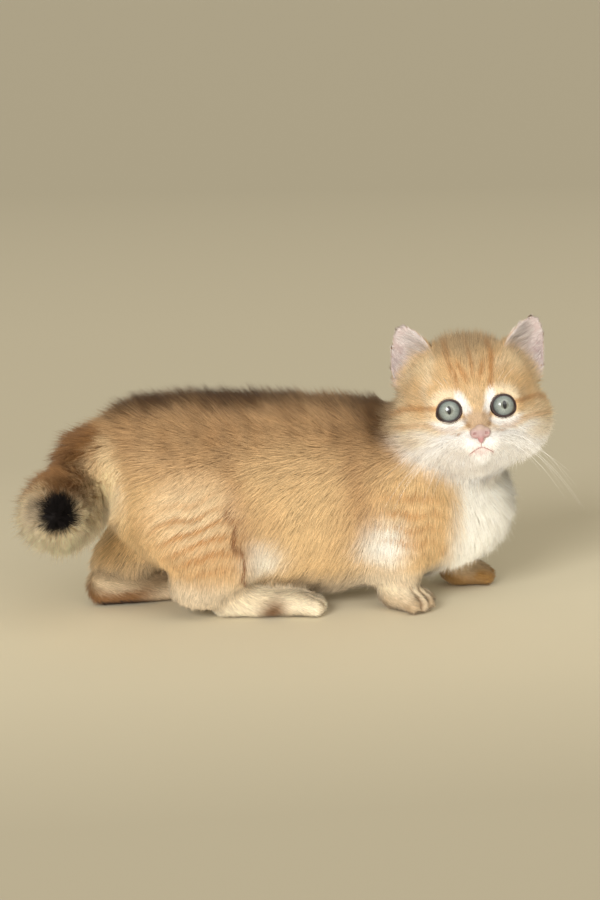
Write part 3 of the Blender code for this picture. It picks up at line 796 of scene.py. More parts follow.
def lieOfCoat():
    places, normals = skinPlaces, skinNormals
    x, y, z = places.T
    local = toHead(places)
    count = len(places)
    down = ramp(z, 106, 48)
    front = ramp(x, 66, 88)
    trunk = vectors(-0.95 + 0.45 * down, 0, -0.1 - 0.8 * down, count)
    trunk = mixed(trunk, vectors(0.12, 0, -1, count), front)
    collar = unit(places - headPlace) + vectors(-0.5, 0, -0.4, count)
    collar = mixed(collar, vectors(0.05, 0, -1, count), front)
    shin = ramp(z, 62, 26)
    haunch = vectors(-0.75 + 0.65 * shin, 0, -0.6 - 0.4 * shin, count)
    upperArm = vectors(-0.35 + 0.35 * shin, 0, -1, count)
    lie = {
        "head": lieOfHead(local) @ headTurn.T,
        "ear": lieOfEar(local, normals @ headTurn) @ headTurn.T,
        "neck": collar,
        "torso": trunk,
        "tail": tailwards(places),
        "hindleg": haunch,
        "foreleg": upperArm,
    }
    for group in ("forepaw", "hindfoot"):
        turn = np.radians(np.where(y < 0, kitten[group][0][1], kitten[group][1][1]))
        lie[group] = vectors(np.cos(turn), np.sin(turn), -0.35, count)
    total = sum(lie[g] * groupShares[:, i][:, None] for i, g in enumerate(groups))
    total = evened(unit(total), lieLook["evening"])
    return unit(total - normals * (total * normals).sum(1)[:, None])


skinLie = lieOfCoat()
skinTones = coatTone(skinPlaces, skinNormals, groupShares)
skinTips = darkTips(skinPlaces, skinNormals, groupShares)


print("the shaders")


def nodeOn(tree, kind, **settings):  # a new node with its settings, and its plain values by socket
    node = tree.nodes.new(kind)
    for name, value in settings.items():
        if hasattr(node, name):
            setattr(node, name, value)
        else:
            node.inputs[name.replace("_", " ")].default_value = value
    return node


def toneRamp(tree, stops):  # a colour ramp through these tones
    shades = nodeOn(tree, "ShaderNodeValToRGB")
    elements = shades.color_ramp.elements
    while len(elements) < len(stops):
        elements.new(0.5)
    for element, (share, colour) in zip(elements, stops):
        element.position = share
        element.color = (*colour, 1)
    return shades


def wired(tree, *links):  # joins nodes: from which, its output, to which, its input
    for source, output, target, entry in links:
        tree.links.new(source.outputs[output], target.inputs[entry])


def sockets(tree, way, **kinds):  # a group's own sockets, by name and kind
    for name, kind in kinds.items():
        tree.interface.new_socket(name, in_out=way, socket_type=f"NodeSocket{kind}")


def hairGrain():  # fine streaks and flecks of tone, the same in the skin and in each tuft
    tree = bpy.data.node_groups.new("hairGrain", "ShaderNodeTree")
    sockets(tree, "INPUT", Colour="Color", Grain="Float", Strength="Float")
    sockets(tree, "OUTPUT", Colour="Color", Height="Float")
    given = nodeOn(tree, "NodeGroupInput")
    made = nodeOn(tree, "NodeGroupOutput")
    place = nodeOn(tree, "ShaderNodeTexCoord")
    fleck = nodeOn(tree, "ShaderNodeTexNoise", Detail=4.0, Roughness=0.65)
    shade = nodeOn(tree, "ShaderNodeMapRange", From_Min=0.25, From_Max=0.75, To_Min=0.62, To_Max=1.3)
    tinted = nodeOn(tree, "ShaderNodeMix", data_type="RGBA", blend_type="MULTIPLY")
    wired(
        tree,
        (place, "Object", fleck, "Vector"),
        (given, "Grain", fleck, "Scale"),
        (fleck, "Fac", shade, "Value"),
        (given, "Strength", tinted, 0),
        (given, "Colour", tinted, 6),
        (shade, "Result", tinted, 7),
        (tinted, 2, made, "Colour"),
        (fleck, "Fac", made, "Height"),
    )
    return tree


grainGroup = hairGrain()


def newMaterial(name, roughness, **fixed):
    material = bpy.data.materials.new(name)
    material.use_nodes = True
    shader = material.node_tree.nodes["Principled BSDF"]
    shader.inputs["Roughness"].default_value = roughness
    for socket, value in fixed.items():
        shader.inputs[socket.replace("_", " ")].default_value = value
    return material, material.node_tree, shader


def coatMaterial(name, roughness, sheen, grain, strength, bump, clear):
    warm = (1.0, 0.86, 0.7, 1)
    material, tree, shader = newMaterial(
        name, roughness, Sheen_Weight=sheen, Sheen_Roughness=0.45, Sheen_Tint=warm, Specular_IOR_Level=0.18
    )
    marking = nodeOn(tree, "ShaderNodeAttribute", attribute_name="coatColour")
    fine = nodeOn(tree, "ShaderNodeGroup", node_tree=grainGroup)
    fine.inputs["Grain"].default_value = grain
    fine.inputs["Strength"].default_value = strength
    relief = nodeOn(tree, "ShaderNodeBump", Strength=bump, Distance=0.0004)
    wired(
        tree,
        (marking, "Color", fine, "Colour"),
        (fine, "Colour", shader, "Base Color"),
        (fine, "Height", relief, "Height"),
        (relief, "Normal", shader, "Normal"),
    )
    if clear:  # each hair lets some of the light through to the hairs behind it
        path = nodeOn(tree, "ShaderNodeLightPath")
        covers = nodeOn(tree, "ShaderNodeMath", operation="MULTIPLY_ADD")
        covers.inputs[1].default_value = -clear
        covers.inputs[2].default_value = 1.0
        wired(
            tree,
            (path, "Is Shadow Ray", covers, 0),
            (covers, 0, shader, "Alpha"),
        )
    return material


underCoat = coatMaterial("underCoat", 0.85, 0.1, 1400, 0.5, 0.6, 0)
softHair = coatMaterial("softHair", 0.62, 0.08, 900, 0.22, 0.0, 0.55)


def newPiece(name, points, triangles, material, replaced=()):
    mesh = bpy.data.meshes.new(name)
    mesh.vertices.add(len(points))
    mesh.vertices.foreach_set("co", np.ascontiguousarray(points, dtype=np.float32).ravel())
    mesh.loops.add(triangles.size)
    mesh.loops.foreach_set("vertex_index", triangles.astype(np.int32).ravel())
    mesh.polygons.add(len(triangles))
    mesh.polygons.foreach_set("loop_start", np.arange(0, triangles.size, 3, dtype=np.int32))
    mesh.update(calc_edges=True)
    mesh.polygons.foreach_set("use_smooth", np.ones(len(triangles), bool))
    mesh.materials.append(material)
    piece = added(name, mesh)
    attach(piece, "root")
    if replaced:
        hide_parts(*replaced)
    return piece


def paint(piece, colours):
    layer = piece.data.attributes.new("coatColour", "FLOAT_COLOR", "POINT")
    full = np.concatenate([np.clip(colours, 0, 1), np.ones((len(colours), 1))], 1)
    layer.data.foreach_set("color", full.astype(np.float32).ravel())


skin = newPiece("skin", skinPoints, skinTriangles, underCoat, fleshNodes)


def shadedDeep(tones, power, share):  # painted shade: deep between the hairs the coat is painted darker and warmer
    return tones**power * share


# the skin under the coat carries the same painted shade, as it lies deep between the hairs
paint(skin, shadedDeep(skinTones, 1.1, 0.95))


print("the coat")
tuftLook = {
    "words": ("perSquare", "width", "stray", "clump", "drawn", "guard", "vary", "blur"),
    "face": (6.2, 0.25, 7, 2.2, 0.35, 0.06, 0.2, 0.25),
    "crown": (4.6, 0.34, 10, 3.0, 0.45, 0.2, 0.27, 0.35),
    "ears": (6.6, 0.2, 6, 1.8, 0.3, 0.0, 0.2, 0.4),
    "ruff": (3.6, 0.44, 9, 4.2, 0.4, 0.1, 0.1, 1.2),
    "trunk": (3.15, 0.46, 8, 4.4, 0.35, 0.12, 0.2, 0.9),
    "tail": (3.7, 0.44, 10, 4.6, 0.45, 0.14, 0.14, 1.2),
    "legs": (3.5, 0.42, 8, 3.4, 0.35, 0.06, 0.19, 0.4),
    "paws": (3.9, 0.32, 10, 2.4, 0.35, 0.04, 0.2, 0.3),
    "sunk": 0.35,  # how deep a tuft roots
    "clear": 0.12,  # how high the lowest hairs stay over the floor
    "bareLips": 0.5,  # how far from the lips' line and the lids' edge no hair grows
    "bareLids": 1.1,
    "most": 190000,  # triangles in a piece
    "patch": 0.003,
    # painted shade at the tufts' roots, as its power and share
    "rootShadePower": 1.1,
    "rootShadeShare": 0.92,
    "quickShare": 0.3,
}


def coatRegions():  # the region that each triangle of the skin belongs to
    centres = skinPlaces[skinTriangles].mean(1)
    local = toHead(centres)
    owner = skinOwner[skinTriangles[:, 0]]
    named = {g: owner == groups.index(g) for g in groups}
    trunk = named["torso"] & (centres[:, 0] < 66)
    return {
        "face": named["head"] & (local[:, 1] < -9),
        "crown": named["head"] & (local[:, 1] >= -9),
        "ears": named["ear"],
        "ruff": named["neck"] | (named["torso"] & ~trunk),
        "trunk": trunk,
        "tail": named["tail"],
        "legs": named["hindleg"] | named["foreleg"],
        "paws": named["forepaw"] | named["hindfoot"],
    }


def unwrapped(triangles):  # where each corner of these triangles lies on a flat unwrap of the skin
    mesh = bpy.data.meshes.new("unwrap")
    used, corners = np.unique(triangles, return_inverse=True)
    mesh.from_pydata(skinPoints[used], [], corners.reshape(-1, 3))
    flat = added("unwrap", mesh)
    bpy.context.view_layer.objects.active = flat
    flat.select_set(True)
    bpy.ops.object.mode_set(mode="EDIT")
    bpy.ops.mesh.select_all(action="SELECT")
    bpy.ops.uv.smart_project(angle_limit=math.radians(66), island_margin=0.004)
    bpy.ops.object.mode_set(mode="OBJECT")
    places = np.zeros(len(mesh.loops) * 2)
    mesh.uv_layers.active.data.foreach_get("uv", places)
    bpy.data.objects.remove(flat)
    return places.reshape(-1, 3, 2)


def scattered(triangles, perSquare, rng):  # roots spread evenly over these triangles
    corners = skinPlaces[triangles]
    area = lengths(np.cross(corners[:, 1] - corners[:, 0], corners[:, 2] - corners[:, 0])) / 2
    summed = np.cumsum(area * perSquare)
    count = int(summed[-1])
    chosen = np.searchsorted(summed, (np.arange(count) + rng.random(count)) / count * summed[-1])
    chosen = np.minimum(chosen, len(triangles) - 1)
    first, second = rng.random((2, count))
    over = first + second > 1
    first[over], second[over] = 1 - first[over], 1 - second[over]
    return chosen, np.stack([1 - first - second, first, second], 1)


def drawnTogether(roots, tips, spread, share, rng):  # tips lean towards the middle of their clump
    count = max(1, int(len(roots) / max(1, spread**2 * 1.6)))
    leaders = rng.choice(len(roots), min(count, len(roots)), replace=False)
    tree = KDTree(len(leaders))
    for i, leader in enumerate(leaders):
        tree.insert(roots[leader], i)
    tree.balance()
    own = np.array([leaders[tree.find(root)[1]] for root in roots])
    reach = lengths(tips - roots)[:, None]
    goal = tips[own] + (roots - roots[own]) * 0.35
    leaning = roots + unit(goal - roots) * reach
    return tips + (leaning - tips) * np.clip(share * rng.uniform(0.4, 1.3, len(roots)), 0, 0.9)[:, None]


def turned(vectors, axes, degrees):  # each vector turned about its own axis
    angle = np.radians(degrees)[:, None]
    dots = (vectors * axes).sum(1)[:, None]
    swung = vectors * np.cos(angle) + np.cross(axes, vectors) * np.sin(angle)
    return swung + axes * dots * (1 - np.cos(angle))


def tuftForms(roots, normals, lie, length, lift, tips, look, rng):
    count = len(roots)
    swirl = 9 * noise(roots, 11, 21) + 8 * noise(roots, 4.5, 22)
    lie = turned(lie, normals, swirl + rng.normal(0, look["stray"], count))
    side = unit(np.cross(normals, lie))
    rise = lift + 7 * noise(roots, 7, 23) + rng.normal(0, look["stray"] * 0.6, count)
    reach = length * rng.uniform(0.78, 1.12, count) * (1 + 0.12 * noise(roots, 6, 24))
    guard = rng.random(count) < look["guard"] + 0.4 * tips
    reach = np.where(guard, reach * 1.3, reach)
    rise = np.where(guard, rise + 6, rise)
    start = turned(lie, side, -np.clip(rise + 9, 3, 80))
    finish = turned(lie, side, -np.clip(rise - 13, 0, 80))
    base = roots - start * tuftLook["sunk"]
    tip = base + (start * 0.5 + finish * 0.5) * reach[:, None]
    tip = drawnTogether(roots, tip, look["clump"] * look["perSquare"] ** 0.5, look["drawn"], rng)
    width = look["width"] * rng.uniform(0.75, 1.2, count) * np.where(guard, 0.7, 1) / 2
    along = unit(tip - base)
    side = unit(np.cross(normals, along))
    upper = np.cross(along, side)
    outs = [side * math.cos(a) + upper * math.sin(a) * 0.7 for a in 2 * math.pi * (np.arange(3) / 3 + 1 / 12)]
    points = np.stack([base + out * width[:, None] for out in outs] + [tip], 1)
    shading = [unit(out * 0.35 + normals) for out in outs] + [unit(normals + along * 0.25)]
    return points, np.stack(shading, 1)


# The faces of a tuft, and where their corners lie across and along its patch of the unwrap
tuftFaces = np.array([(0, 2, 1), (0, 1, 3), (1, 2, 3), (2, 0, 3)])
tuftPatch = np.array([
    ((0.4, 0), (0.6, 0), (0.5, 0.06)),
    ((0, 0.1), (0.33, 0.1), (0.17, 1)),
    ((0.33, 0.1), (0.67, 0.1), (0.5, 1)),
    ((0.67, 0.1), (1, 0.1), (0.83, 1)),
])


def tuftPiece(name, points, shading, colours, centres):
    count, each = points.shape[:2]
    triangles = (np.arange(count)[:, None, None] * each + tuftFaces).reshape(-1, 3)
    piece = newPiece(name, toWorld(points.reshape(-1, 3)), triangles, softHair)
    paint(piece, colours.reshape(-1, 3))
    corners = centres[:, None, None] + (tuftPatch[None] - 0.5) * tuftLook["patch"]
    piece.data.uv_layers.new(name="OFBake")
    piece.data.uv_layers["OFBake"].data.foreach_set("uv", corners.astype(np.float32).ravel())
    normals = piece.data.attributes.new("custom_normal", "FLOAT_VECTOR", "POINT")
    normals.data.foreach_set("vector", shading.astype(np.float32).ravel())


def grow(name, triangles, unwrap, look, rng):
    share = 1.0
    chosen, weights = scattered(triangles, look["perSquare"] * share, rng)
    own = triangles[chosen]

    def at(values):
        return (values[own] * weights.reshape(weights.shape + (1,) * (values.ndim - 1))).sum(1)

    roots = at(skinPlaces)
    normals, lie = unit(at(skinNormals)), unit(at(skinLie))
    length, lift, shares = at(coatLength), at(coatLift), at(groupShares)
    local = toHead(roots)
    onHead = shares[:, groups.index("head")] > 0.5
    lipsFar = awayFromLine(np.abs(local[:, ::2]) * (1, -1), faceMarks["lips"])
    bare = onHead & (local[:, 1] < -24) & (lipsFar < tuftLook["bareLips"])
    bare |= onHead & (lidsFar(local) < tuftLook["bareLids"])
    bare |= roots[:, 2] < 0.5
    tips = np.clip(darkTips(roots, normals, shares), 0, 1)
    points, shading = tuftForms(roots, normals, lie, length, lift, tips, look, rng)
    points[:, :, 2] = np.maximum(points[:, :, 2], tuftLook["clear"])
    tones = coatTone(roots + rng.normal(0, look["blur"], roots.shape), normals, shares)
    inEar = at(onEar) * insideEar(local, normals @ headTurn)
    tones = mixed(tones, coatTones["white"], 0.85 * inEar * rng.random(len(roots)) ** 2)
    light = rng.normal(1, look["vary"], len(roots)) + 0.07 * noise(roots, 5, 25)
    tones = tones * np.clip(light, 0.5, 1.4)[:, None]
    # painted shade: each tuft's root is darker and warmer than its tip
    shadedRootTones = shadedDeep(tones, tuftLook["rootShadePower"], tuftLook["rootShadeShare"])
    tipTones = mixed(tones * 1.06, coatTones["tip"], tips * rng.uniform(0.4, 1.3, len(roots)))
    colours = np.stack([shadedRootTones] * 3 + [tipTones], 1)
    centres = (unwrap[chosen] * weights[:, :, None]).sum(1)
    bare |= (at(longInside) > 0.3) & (rng.random(len(roots)) < 0.35)
    keep = np.flatnonzero(~bare)
    parts = max(1, math.ceil(len(keep) * len(tuftFaces) / tuftLook["most"]))
    for part, kept in enumerate(np.array_split(keep, parts)):
        ending = f"_{part + 1}" if parts > 1 else ""
        tuftPiece(f"{name}{ending}", points[kept], shading[kept], colours[kept], centres[kept])
    return len(keep) * len(tuftFaces)


coatTriangles = 0
for order, (region, chosen) in enumerate(coatRegions().items()):
    own = skinTriangles[chosen]
    look = dict(zip(tuftLook["words"], tuftLook[region]))
    grown = grow(f"coat_{region}", own, unwrapped(own), look, np.random.default_rng(order))
    print("  ", region, grown)
    coatTriangles += grown
print("  triangles of the coat", coatTriangles)


print("the eyes")
eyeLook = {
    "cornea": 0.5,  # how far it bulges over the iris
    "iris": 5.5,
    "gaze": 3,  # degrees that it looks down
    "rings": 40,
    "around": 72,
    "rimWidth": 0.58,  # half width and half height of the lids' dark edge
    "rimHeight": 0.42,
    "irisTones": [  # from its middle to its edge
        (0.0, (78, 80, 72)), (0.3, (104, 106, 96)), (0.4, (138, 144, 136)), (0.62, (126, 134, 129)),
        (0.8, (102, 110, 108)), (0.9, (60, 60, 60)), (1.0, (26, 20, 18)),
    ],
    "pupilTone": (10, 9, 10),
    "pupilHalf": (2.35, 1.1),  # how far it reaches up and sideways
}


def eyeballPiece(side, word):
    turn, middle = eyeFrame(side)
    radius = kitten["eyeRadius"] - 0.12
    points = []
    rings, around = eyeLook["rings"], eyeLook["around"]
    for ring in range(1, rings):
        polar = math.pi * ring / rings
        off = radius * math.sin(polar)
        bulge = eyeLook["cornea"] * float(ramp(np.array(off), 6.2, 2.5)) if polar < math.pi / 2 else 0
        for step in range(around):
            angle = 2 * math.pi * step / around
            points.append((off * math.cos(angle), off * math.sin(angle), radius * math.cos(polar) + bulge))
    points += [(0, 0, radius + eyeLook["cornea"]), (0, 0, -radius)]
    points = np.array(points)
    gaze = np.array(Matrix.Rotation(math.radians(eyeLook["gaze"]), 3, "Y"))  # X is up and Z looks out
    faces = []
    for ring in range(rings - 2):
        for step in range(around):
            a, b = ring * around + step, ring * around + (step + 1) % around
            faces += [(a, a + around, b + around), (a, b + around, b)]
    top, bottom = len(points) - 2, len(points) - 1
    last = (rings - 2) * around
    for step in range(around):
        following = (step + 1) % around
        faces += [(top, step, following), (bottom, last + following, last + step)]
    place = headToWorld(points @ gaze.T @ turn.T + middle)
    piece = newPiece(f"eyeball_{word}", place, np.array(faces), irisFinish, [f"eye_{word}"])
    layer = piece.data.attributes.new("irisPlace", "FLOAT_VECTOR", "POINT")
    layer.data.foreach_set("vector", points.astype(np.float32).ravel())


def irisMaterial():
    material, tree, shader = newMaterial(
        "wetEye", 0.3, Coat_Weight=1.0, Coat_Roughness=0.02, Coat_IOR=1.5, Specular_IOR_Level=0.4
    )
    place = nodeOn(tree, "ShaderNodeAttribute", attribute_name="irisPlace")
    parts = nodeOn(tree, "ShaderNodeSeparateXYZ")
    flat = nodeOn(tree, "ShaderNodeCombineXYZ")
    far = nodeOn(tree, "ShaderNodeVectorMath", operation="LENGTH")
    around = nodeOn(tree, "ShaderNodeMath", operation="ARCTAN2")
    spokes = nodeOn(tree, "ShaderNodeCombineXYZ")
    stretch = nodeOn(tree, "ShaderNodeMath", operation="MULTIPLY")
    stretch.inputs[1].default_value = 5.5
    shorten = nodeOn(tree, "ShaderNodeMath", operation="MULTIPLY")
    shorten.inputs[1].default_value = 0.35
    fibres = nodeOn(tree, "ShaderNodeTexNoise", Scale=2.2, Detail=5.0, Roughness=0.6)
    clouds = nodeOn(tree, "ShaderNodeTexNoise", Scale=0.35, Detail=2.0)
    rings = toneRamp(tree, [(share, tone(*colour)) for share, colour in eyeLook["irisTones"]])
    scaled = nodeOn(tree, "ShaderNodeMath", operation="DIVIDE")
    scaled.inputs[1].default_value = eyeLook["iris"] + 0.75
    shade = nodeOn(tree, "ShaderNodeMapRange", From_Min=0.3, From_Max=0.7, To_Min=0.6, To_Max=1.35)
    cloudShade = nodeOn(tree, "ShaderNodeMapRange", From_Min=0.35, From_Max=0.65, To_Min=0.88, To_Max=1.1)
    fibred = nodeOn(tree, "ShaderNodeMix", data_type="RGBA", blend_type="MULTIPLY")
    fibred.inputs[0].default_value = 0.8
    clouded = nodeOn(tree, "ShaderNodeMix", data_type="RGBA", blend_type="MULTIPLY")
    clouded.inputs[0].default_value = 1.0
    oval = nodeOn(tree, "ShaderNodeVectorMath", operation="MULTIPLY")
    oval.inputs[1].default_value = (*(1 / half for half in eyeLook["pupilHalf"]), 0)
    pupilFar = nodeOn(tree, "ShaderNodeVectorMath", operation="LENGTH")
    pupil = nodeOn(tree, "ShaderNodeMapRange", From_Min=0.88, From_Max=1.06, To_Min=0.0, To_Max=1.0)
    opened = nodeOn(tree, "ShaderNodeMix", data_type="RGBA")
    opened.inputs[6].default_value = (*tone(*eyeLook["pupilTone"]), 1)
    wired(
        tree,
        (place, "Vector", parts, 0),
        (parts, "X", flat, "X"),
        (parts, "Y", flat, "Y"),
        (flat, 0, far, 0),
        (parts, "X", around, 0),
        (parts, "Y", around, 1),
        (around, 0, stretch, 0),
        (far, "Value", shorten, 0),
        (stretch, 0, spokes, "X"),
        (shorten, 0, spokes, "Y"),
        (spokes, 0, fibres, "Vector"),
        (flat, 0, clouds, "Vector"),
        (far, "Value", scaled, 0),
        (scaled, 0, rings, "Fac"),
        (fibres, "Fac", shade, "Value"),
        (clouds, "Fac", cloudShade, "Value"),
        (rings, "Color", fibred, 6),
        (shade, "Result", fibred, 7),
        (fibred, 2, clouded, 6),
        (cloudShade, "Result", clouded, 7),
        (flat, 0, oval, 0),
        (oval, 0, pupilFar, 0),
        (pupilFar, "Value", pupil, "Value"),
        (pupil, "Result", opened, 0),
        (clouded, 2, opened, 7),
        (opened, 2, shader, "Base Color"),
    )
    return material


def rimMaterial():
    material, tree, shader = newMaterial("lidEdge", 0.38, Specular_IOR_Level=0.5)
    place = nodeOn(tree, "ShaderNodeTexCoord")
    grain = nodeOn(tree, "ShaderNodeTexNoise", Scale=2200.0, Detail=3.0)
    shades = toneRamp(tree, [(0.35, tone(34, 22, 22)), (0.7, tone(74, 50, 46))])
    relief = nodeOn(tree, "ShaderNodeBump", Strength=0.35, Distance=0.0002)
    wired(
        tree,
        (place, "Object", grain, "Vector"),
        (grain, "Fac", shades, "Fac"),
        (shades, "Color", shader, "Base Color"),
        (grain, "Fac", relief, "Height"),
        (relief, "Normal", shader, "Normal"),
    )
    return material


def tube(path, across, outwards, halfWidth, halfHeight, closed, sides=10):  # a smooth strip along a path
    count = len(path)
    points = []
    for i in range(count):
        for side in range(sides):
            angle = 2 * math.pi * side / sides
            points.append(path[i] + across[i] * math.cos(angle) * halfWidth[i]
                          + outwards[i] * math.sin(angle) * halfHeight[i])
    faces = []
    for i in range(count if closed else count - 1):
        for side in range(sides):
            a, b = i * sides + side, i * sides + (side + 1) % sides
            c, d = (i + 1) % count * sides + side, (i + 1) % count * sides + (side + 1) % sides
            faces += [(a, c, d), (a, d, b)]
    if not closed:
        for end, order in ((0, 1), (count - 1, -1)):
            points.append(path[end])
            centre = len(points) - 1
            ring = [end * sides + s for s in range(sides)]
            faces += [(centre, ring[(s + 1) % sides], ring[s])[::order] for s in range(sides)]
    return np.array(points), facingOut(np.array(points), np.array(faces))


def facingOut(points, faces):  # turns the faces round where the closed shape is inside out
    corners = points[faces]
    volume = (np.cross(corners[:, 0], corners[:, 1]) * corners[:, 2]).sum()
    return faces if volume > 0 else faces[:, ::-1]


def lidPiece(side, word):
    turn, middle = eyeFrame(side)
    angles = 2 * np.pi * np.arange(120) / 120
    ways = np.stack([np.cos(angles), np.sin(angles)], 1)
    upper = np.clip(ways[:, 0], 0, 1)
    width = eyeLook["rimWidth"] * (0.85 + 0.3 * upper)
    off = lidEdge(ways) + width
    lift = np.sqrt((kitten["eyeRadius"] + 0.1) ** 2 - np.minimum(off, 7.6) ** 2)
    path = np.concatenate([ways * off[:, None], lift[:, None]], 1)
    along = unit(np.roll(path, -1, 0) - np.roll(path, 1, 0))
    outwards = unit(path)
    across = unit(np.cross(outwards, along))
    height = eyeLook["rimHeight"] * (1 + 0.35 * upper)
    points, faces = tube(path, across, outwards, width, height, True)
    points = points * (1, -side, 1)
    place = headToWorld(points @ turn.T + middle)
    newPiece(f"lid_edge_{word}", place, facingOut(place, faces), rimFinish)


irisFinish, rimFinish = irisMaterial(), rimMaterial()
for side, word in ((-1, "right"), (1, "left")):
    eyeballPiece(side, word)
    lidPiece(side, word)


print("the nose and mouth")
noseLook = {
    "voxel": 0.28,
    "softening": 16,
    "middle": (0, -39, -12.8),
    "fitted": (0.9, 0.9, 1.1),  # narrower, flatter and taller than its solid, about its middle
    "lipWidth": 0.26,
    "lipHeight": 0.2,
    "middleTone": tone(174, 146, 142),
    "topTone": tone(182, 157, 142),
    "lowTone": tone(176, 128, 126),
    "nostrilTone": tone(178, 138, 132),
    "lineTone": tone(166, 122, 114),
}


def leatherMaterial():
    material, tree, shader = newMaterial("noseLeather", 0.5, Specular_IOR_Level=0.35)
    tint = nodeOn(tree, "ShaderNodeAttribute", attribute_name="coatColour")
    fine = nodeOn(tree, "ShaderNodeGroup", node_tree=grainGroup)
    fine.inputs["Grain"].default_value = 1500
    fine.inputs["Strength"].default_value = 0.25
    place = nodeOn(tree, "ShaderNodeTexCoord")
    pebbles = nodeOn(tree, "ShaderNodeTexVoronoi", Scale=2200.0)
    relief = nodeOn(tree, "ShaderNodeBump", Strength=0.45, Distance=0.00012)
    wired(
        tree,
        (tint, "Color", fine, "Colour"),
        (fine, "Colour", shader, "Base Color"),
        (place, "Object", pebbles, "Vector"),
        (pebbles, "Distance", relief, "Height"),
        (relief, "Normal", shader, "Normal"),
    )
    return material


noseFinish = leatherMaterial()
noseShell, _, noseFaces = mergedNode("nose")
nosePoints, noseFaces, _ = remeshed(noseShell, noseFaces, noseLook["voxel"], noseLook["softening"])
noseLocal = toHead(fromWorld(nosePoints))
noseLocal = (noseLocal - np.array(noseLook["middle"])) * noseLook["fitted"] + np.array(noseLook["middle"])
nose = newPiece("nose_leather", headToWorld(noseLocal), noseFaces, noseFinish, ["nose"])
noseTones = mixed(noseLook["middleTone"], noseLook["topTone"], ramp(noseLocal[:, 2], -12.4, -10))
noseTones = mixed(noseTones, noseLook["lowTone"], ramp(noseLocal[:, 2], -13.6, -16.3))
nostrilFar = lengths((np.abs(noseLocal) * (1, 0, 1) - np.array((3.5, 0, 13.2))) / (1.3, 1, 0.6))
noseTones = mixed(noseTones, noseLook["nostrilTone"], 0.7 * ramp(nostrilFar, 1.3, 0.6))
paint(nose, noseTones)


skinTree = BVHTree.FromPolygons([Vector(p) for p in skinPoints], skinTriangles.tolist())


def onSkinAhead(across, up, proud=0.0):  # the point of the face's skin seen straight from the front
    start = headToWorld(((across, -80, up),))[0]
    hit = skinTree.ray_cast(Vector(start), Vector(headTurn @ (0, 1, 0)))
    return toHead(fromWorld(np.array(hit[0])[None] + np.array(hit[1])[None] * proud / 1000))[0]


def lipLine(name, line, halfWidth, halfHeight):
    flat = np.array(line, float)
    steps = np.linspace(0, len(flat) - 1, 8 * (len(flat) - 1) + 1)
    smoothLine = np.stack([np.interp(steps, np.arange(len(flat)), flat[:, k]) for k in (0, 1)], 1)
    for _ in range(4):
        smoothLine[1:-1] = (smoothLine[:-2] + 2 * smoothLine[1:-1] + smoothLine[2:]) / 4
    path = np.array([onSkinAhead(a, u, 0.1) for a, u in smoothLine])
    along = unit(np.gradient(path, axis=0))
    outwards = np.tile((0.0, -1.0, 0.0), (len(path), 1))
    across = unit(np.cross(outwards, along))
    outwards = unit(np.cross(along, across))
    ends = np.sin(np.linspace(0.12, math.pi - 0.12, len(path))) ** 0.5
    points, faces = tube(list(path), across, outwards, halfWidth * ends, halfHeight * ends, False)
    piece = newPiece(name, headToWorld(points), faces, noseFinish)
    paint(piece, np.broadcast_to(noseLook["lineTone"], points.shape))


wholeMouth = [(-a, u) for a, u in faceMarks["mouth"]] + faceMarks["mouth"][-2::-1]
lipLine("mouth_line", wholeMouth, noseLook["lipWidth"], noseLook["lipHeight"])
lipLine("philtrum", faceMarks["philtrum"], noseLook["lipWidth"] * 0.7, noseLook["lipHeight"] * 0.7)


print("the whiskers")
whiskerLook = {
    "rows": 3,
    "inRow": 4,
    "first": (8.5, -14.2),  # where the upper row's innermost one roots on the face, across and up
    "alongRow": (2.3, -0.25),
    "downRow": (0.5, -1.9),
    "longest": 46,
    "shortest": 22,
    "thickness": 0.06,
    "droop": (0.45, 0.85),  # of its length
    "sides": 6,
    "seed": 5,
}


def whiskerTree():  # each guide line becomes a fine tapered hair
    tree = bpy.data.node_groups.new("whiskers", "GeometryNodeTree")
    sockets(tree, "INPUT", Geometry="Geometry", Thickness="Float", Sides="Int", Material="Material")
    sockets(tree, "OUTPUT", Geometry="Geometry")
    given = nodeOn(tree, "NodeGroupInput")
    made = nodeOn(tree, "NodeGroupOutput")
    curves = nodeOn(tree, "GeometryNodeMeshToCurve")
    finer = nodeOn(tree, "GeometryNodeResampleCurve", Count=14)
    place = nodeOn(tree, "GeometryNodeSplineParameter")
    taper = nodeOn(tree, "ShaderNodeMapRange", From_Min=0.0, From_Max=1.0, To_Min=1.0, To_Max=0.12)
    circle = nodeOn(tree, "GeometryNodeCurvePrimitiveCircle")
    sweep = nodeOn(tree, "GeometryNodeCurveToMesh", Fill_Caps=True)
    real = nodeOn(tree, "GeometryNodeRealizeInstances")
    finish = nodeOn(tree, "GeometryNodeSetMaterial")
    wired(
        tree,
        (given, "Geometry", curves, "Mesh"),
        (curves, "Curve", finer, "Curve"),
        (place, "Factor", taper, "Value"),
        (given, "Sides", circle, "Resolution"),
        (given, "Thickness", circle, "Radius"),
        (finer, "Curve", sweep, "Curve"),
        (circle, "Curve", sweep, "Profile Curve"),
        (taper, "Result", sweep, "Scale"),
        (sweep, "Mesh", real, "Geometry"),
        (real, "Geometry", finish, "Geometry"),
        (given, "Material", finish, "Material"),
        (finish, "Geometry", made, "Geometry"),
    )
    return tree


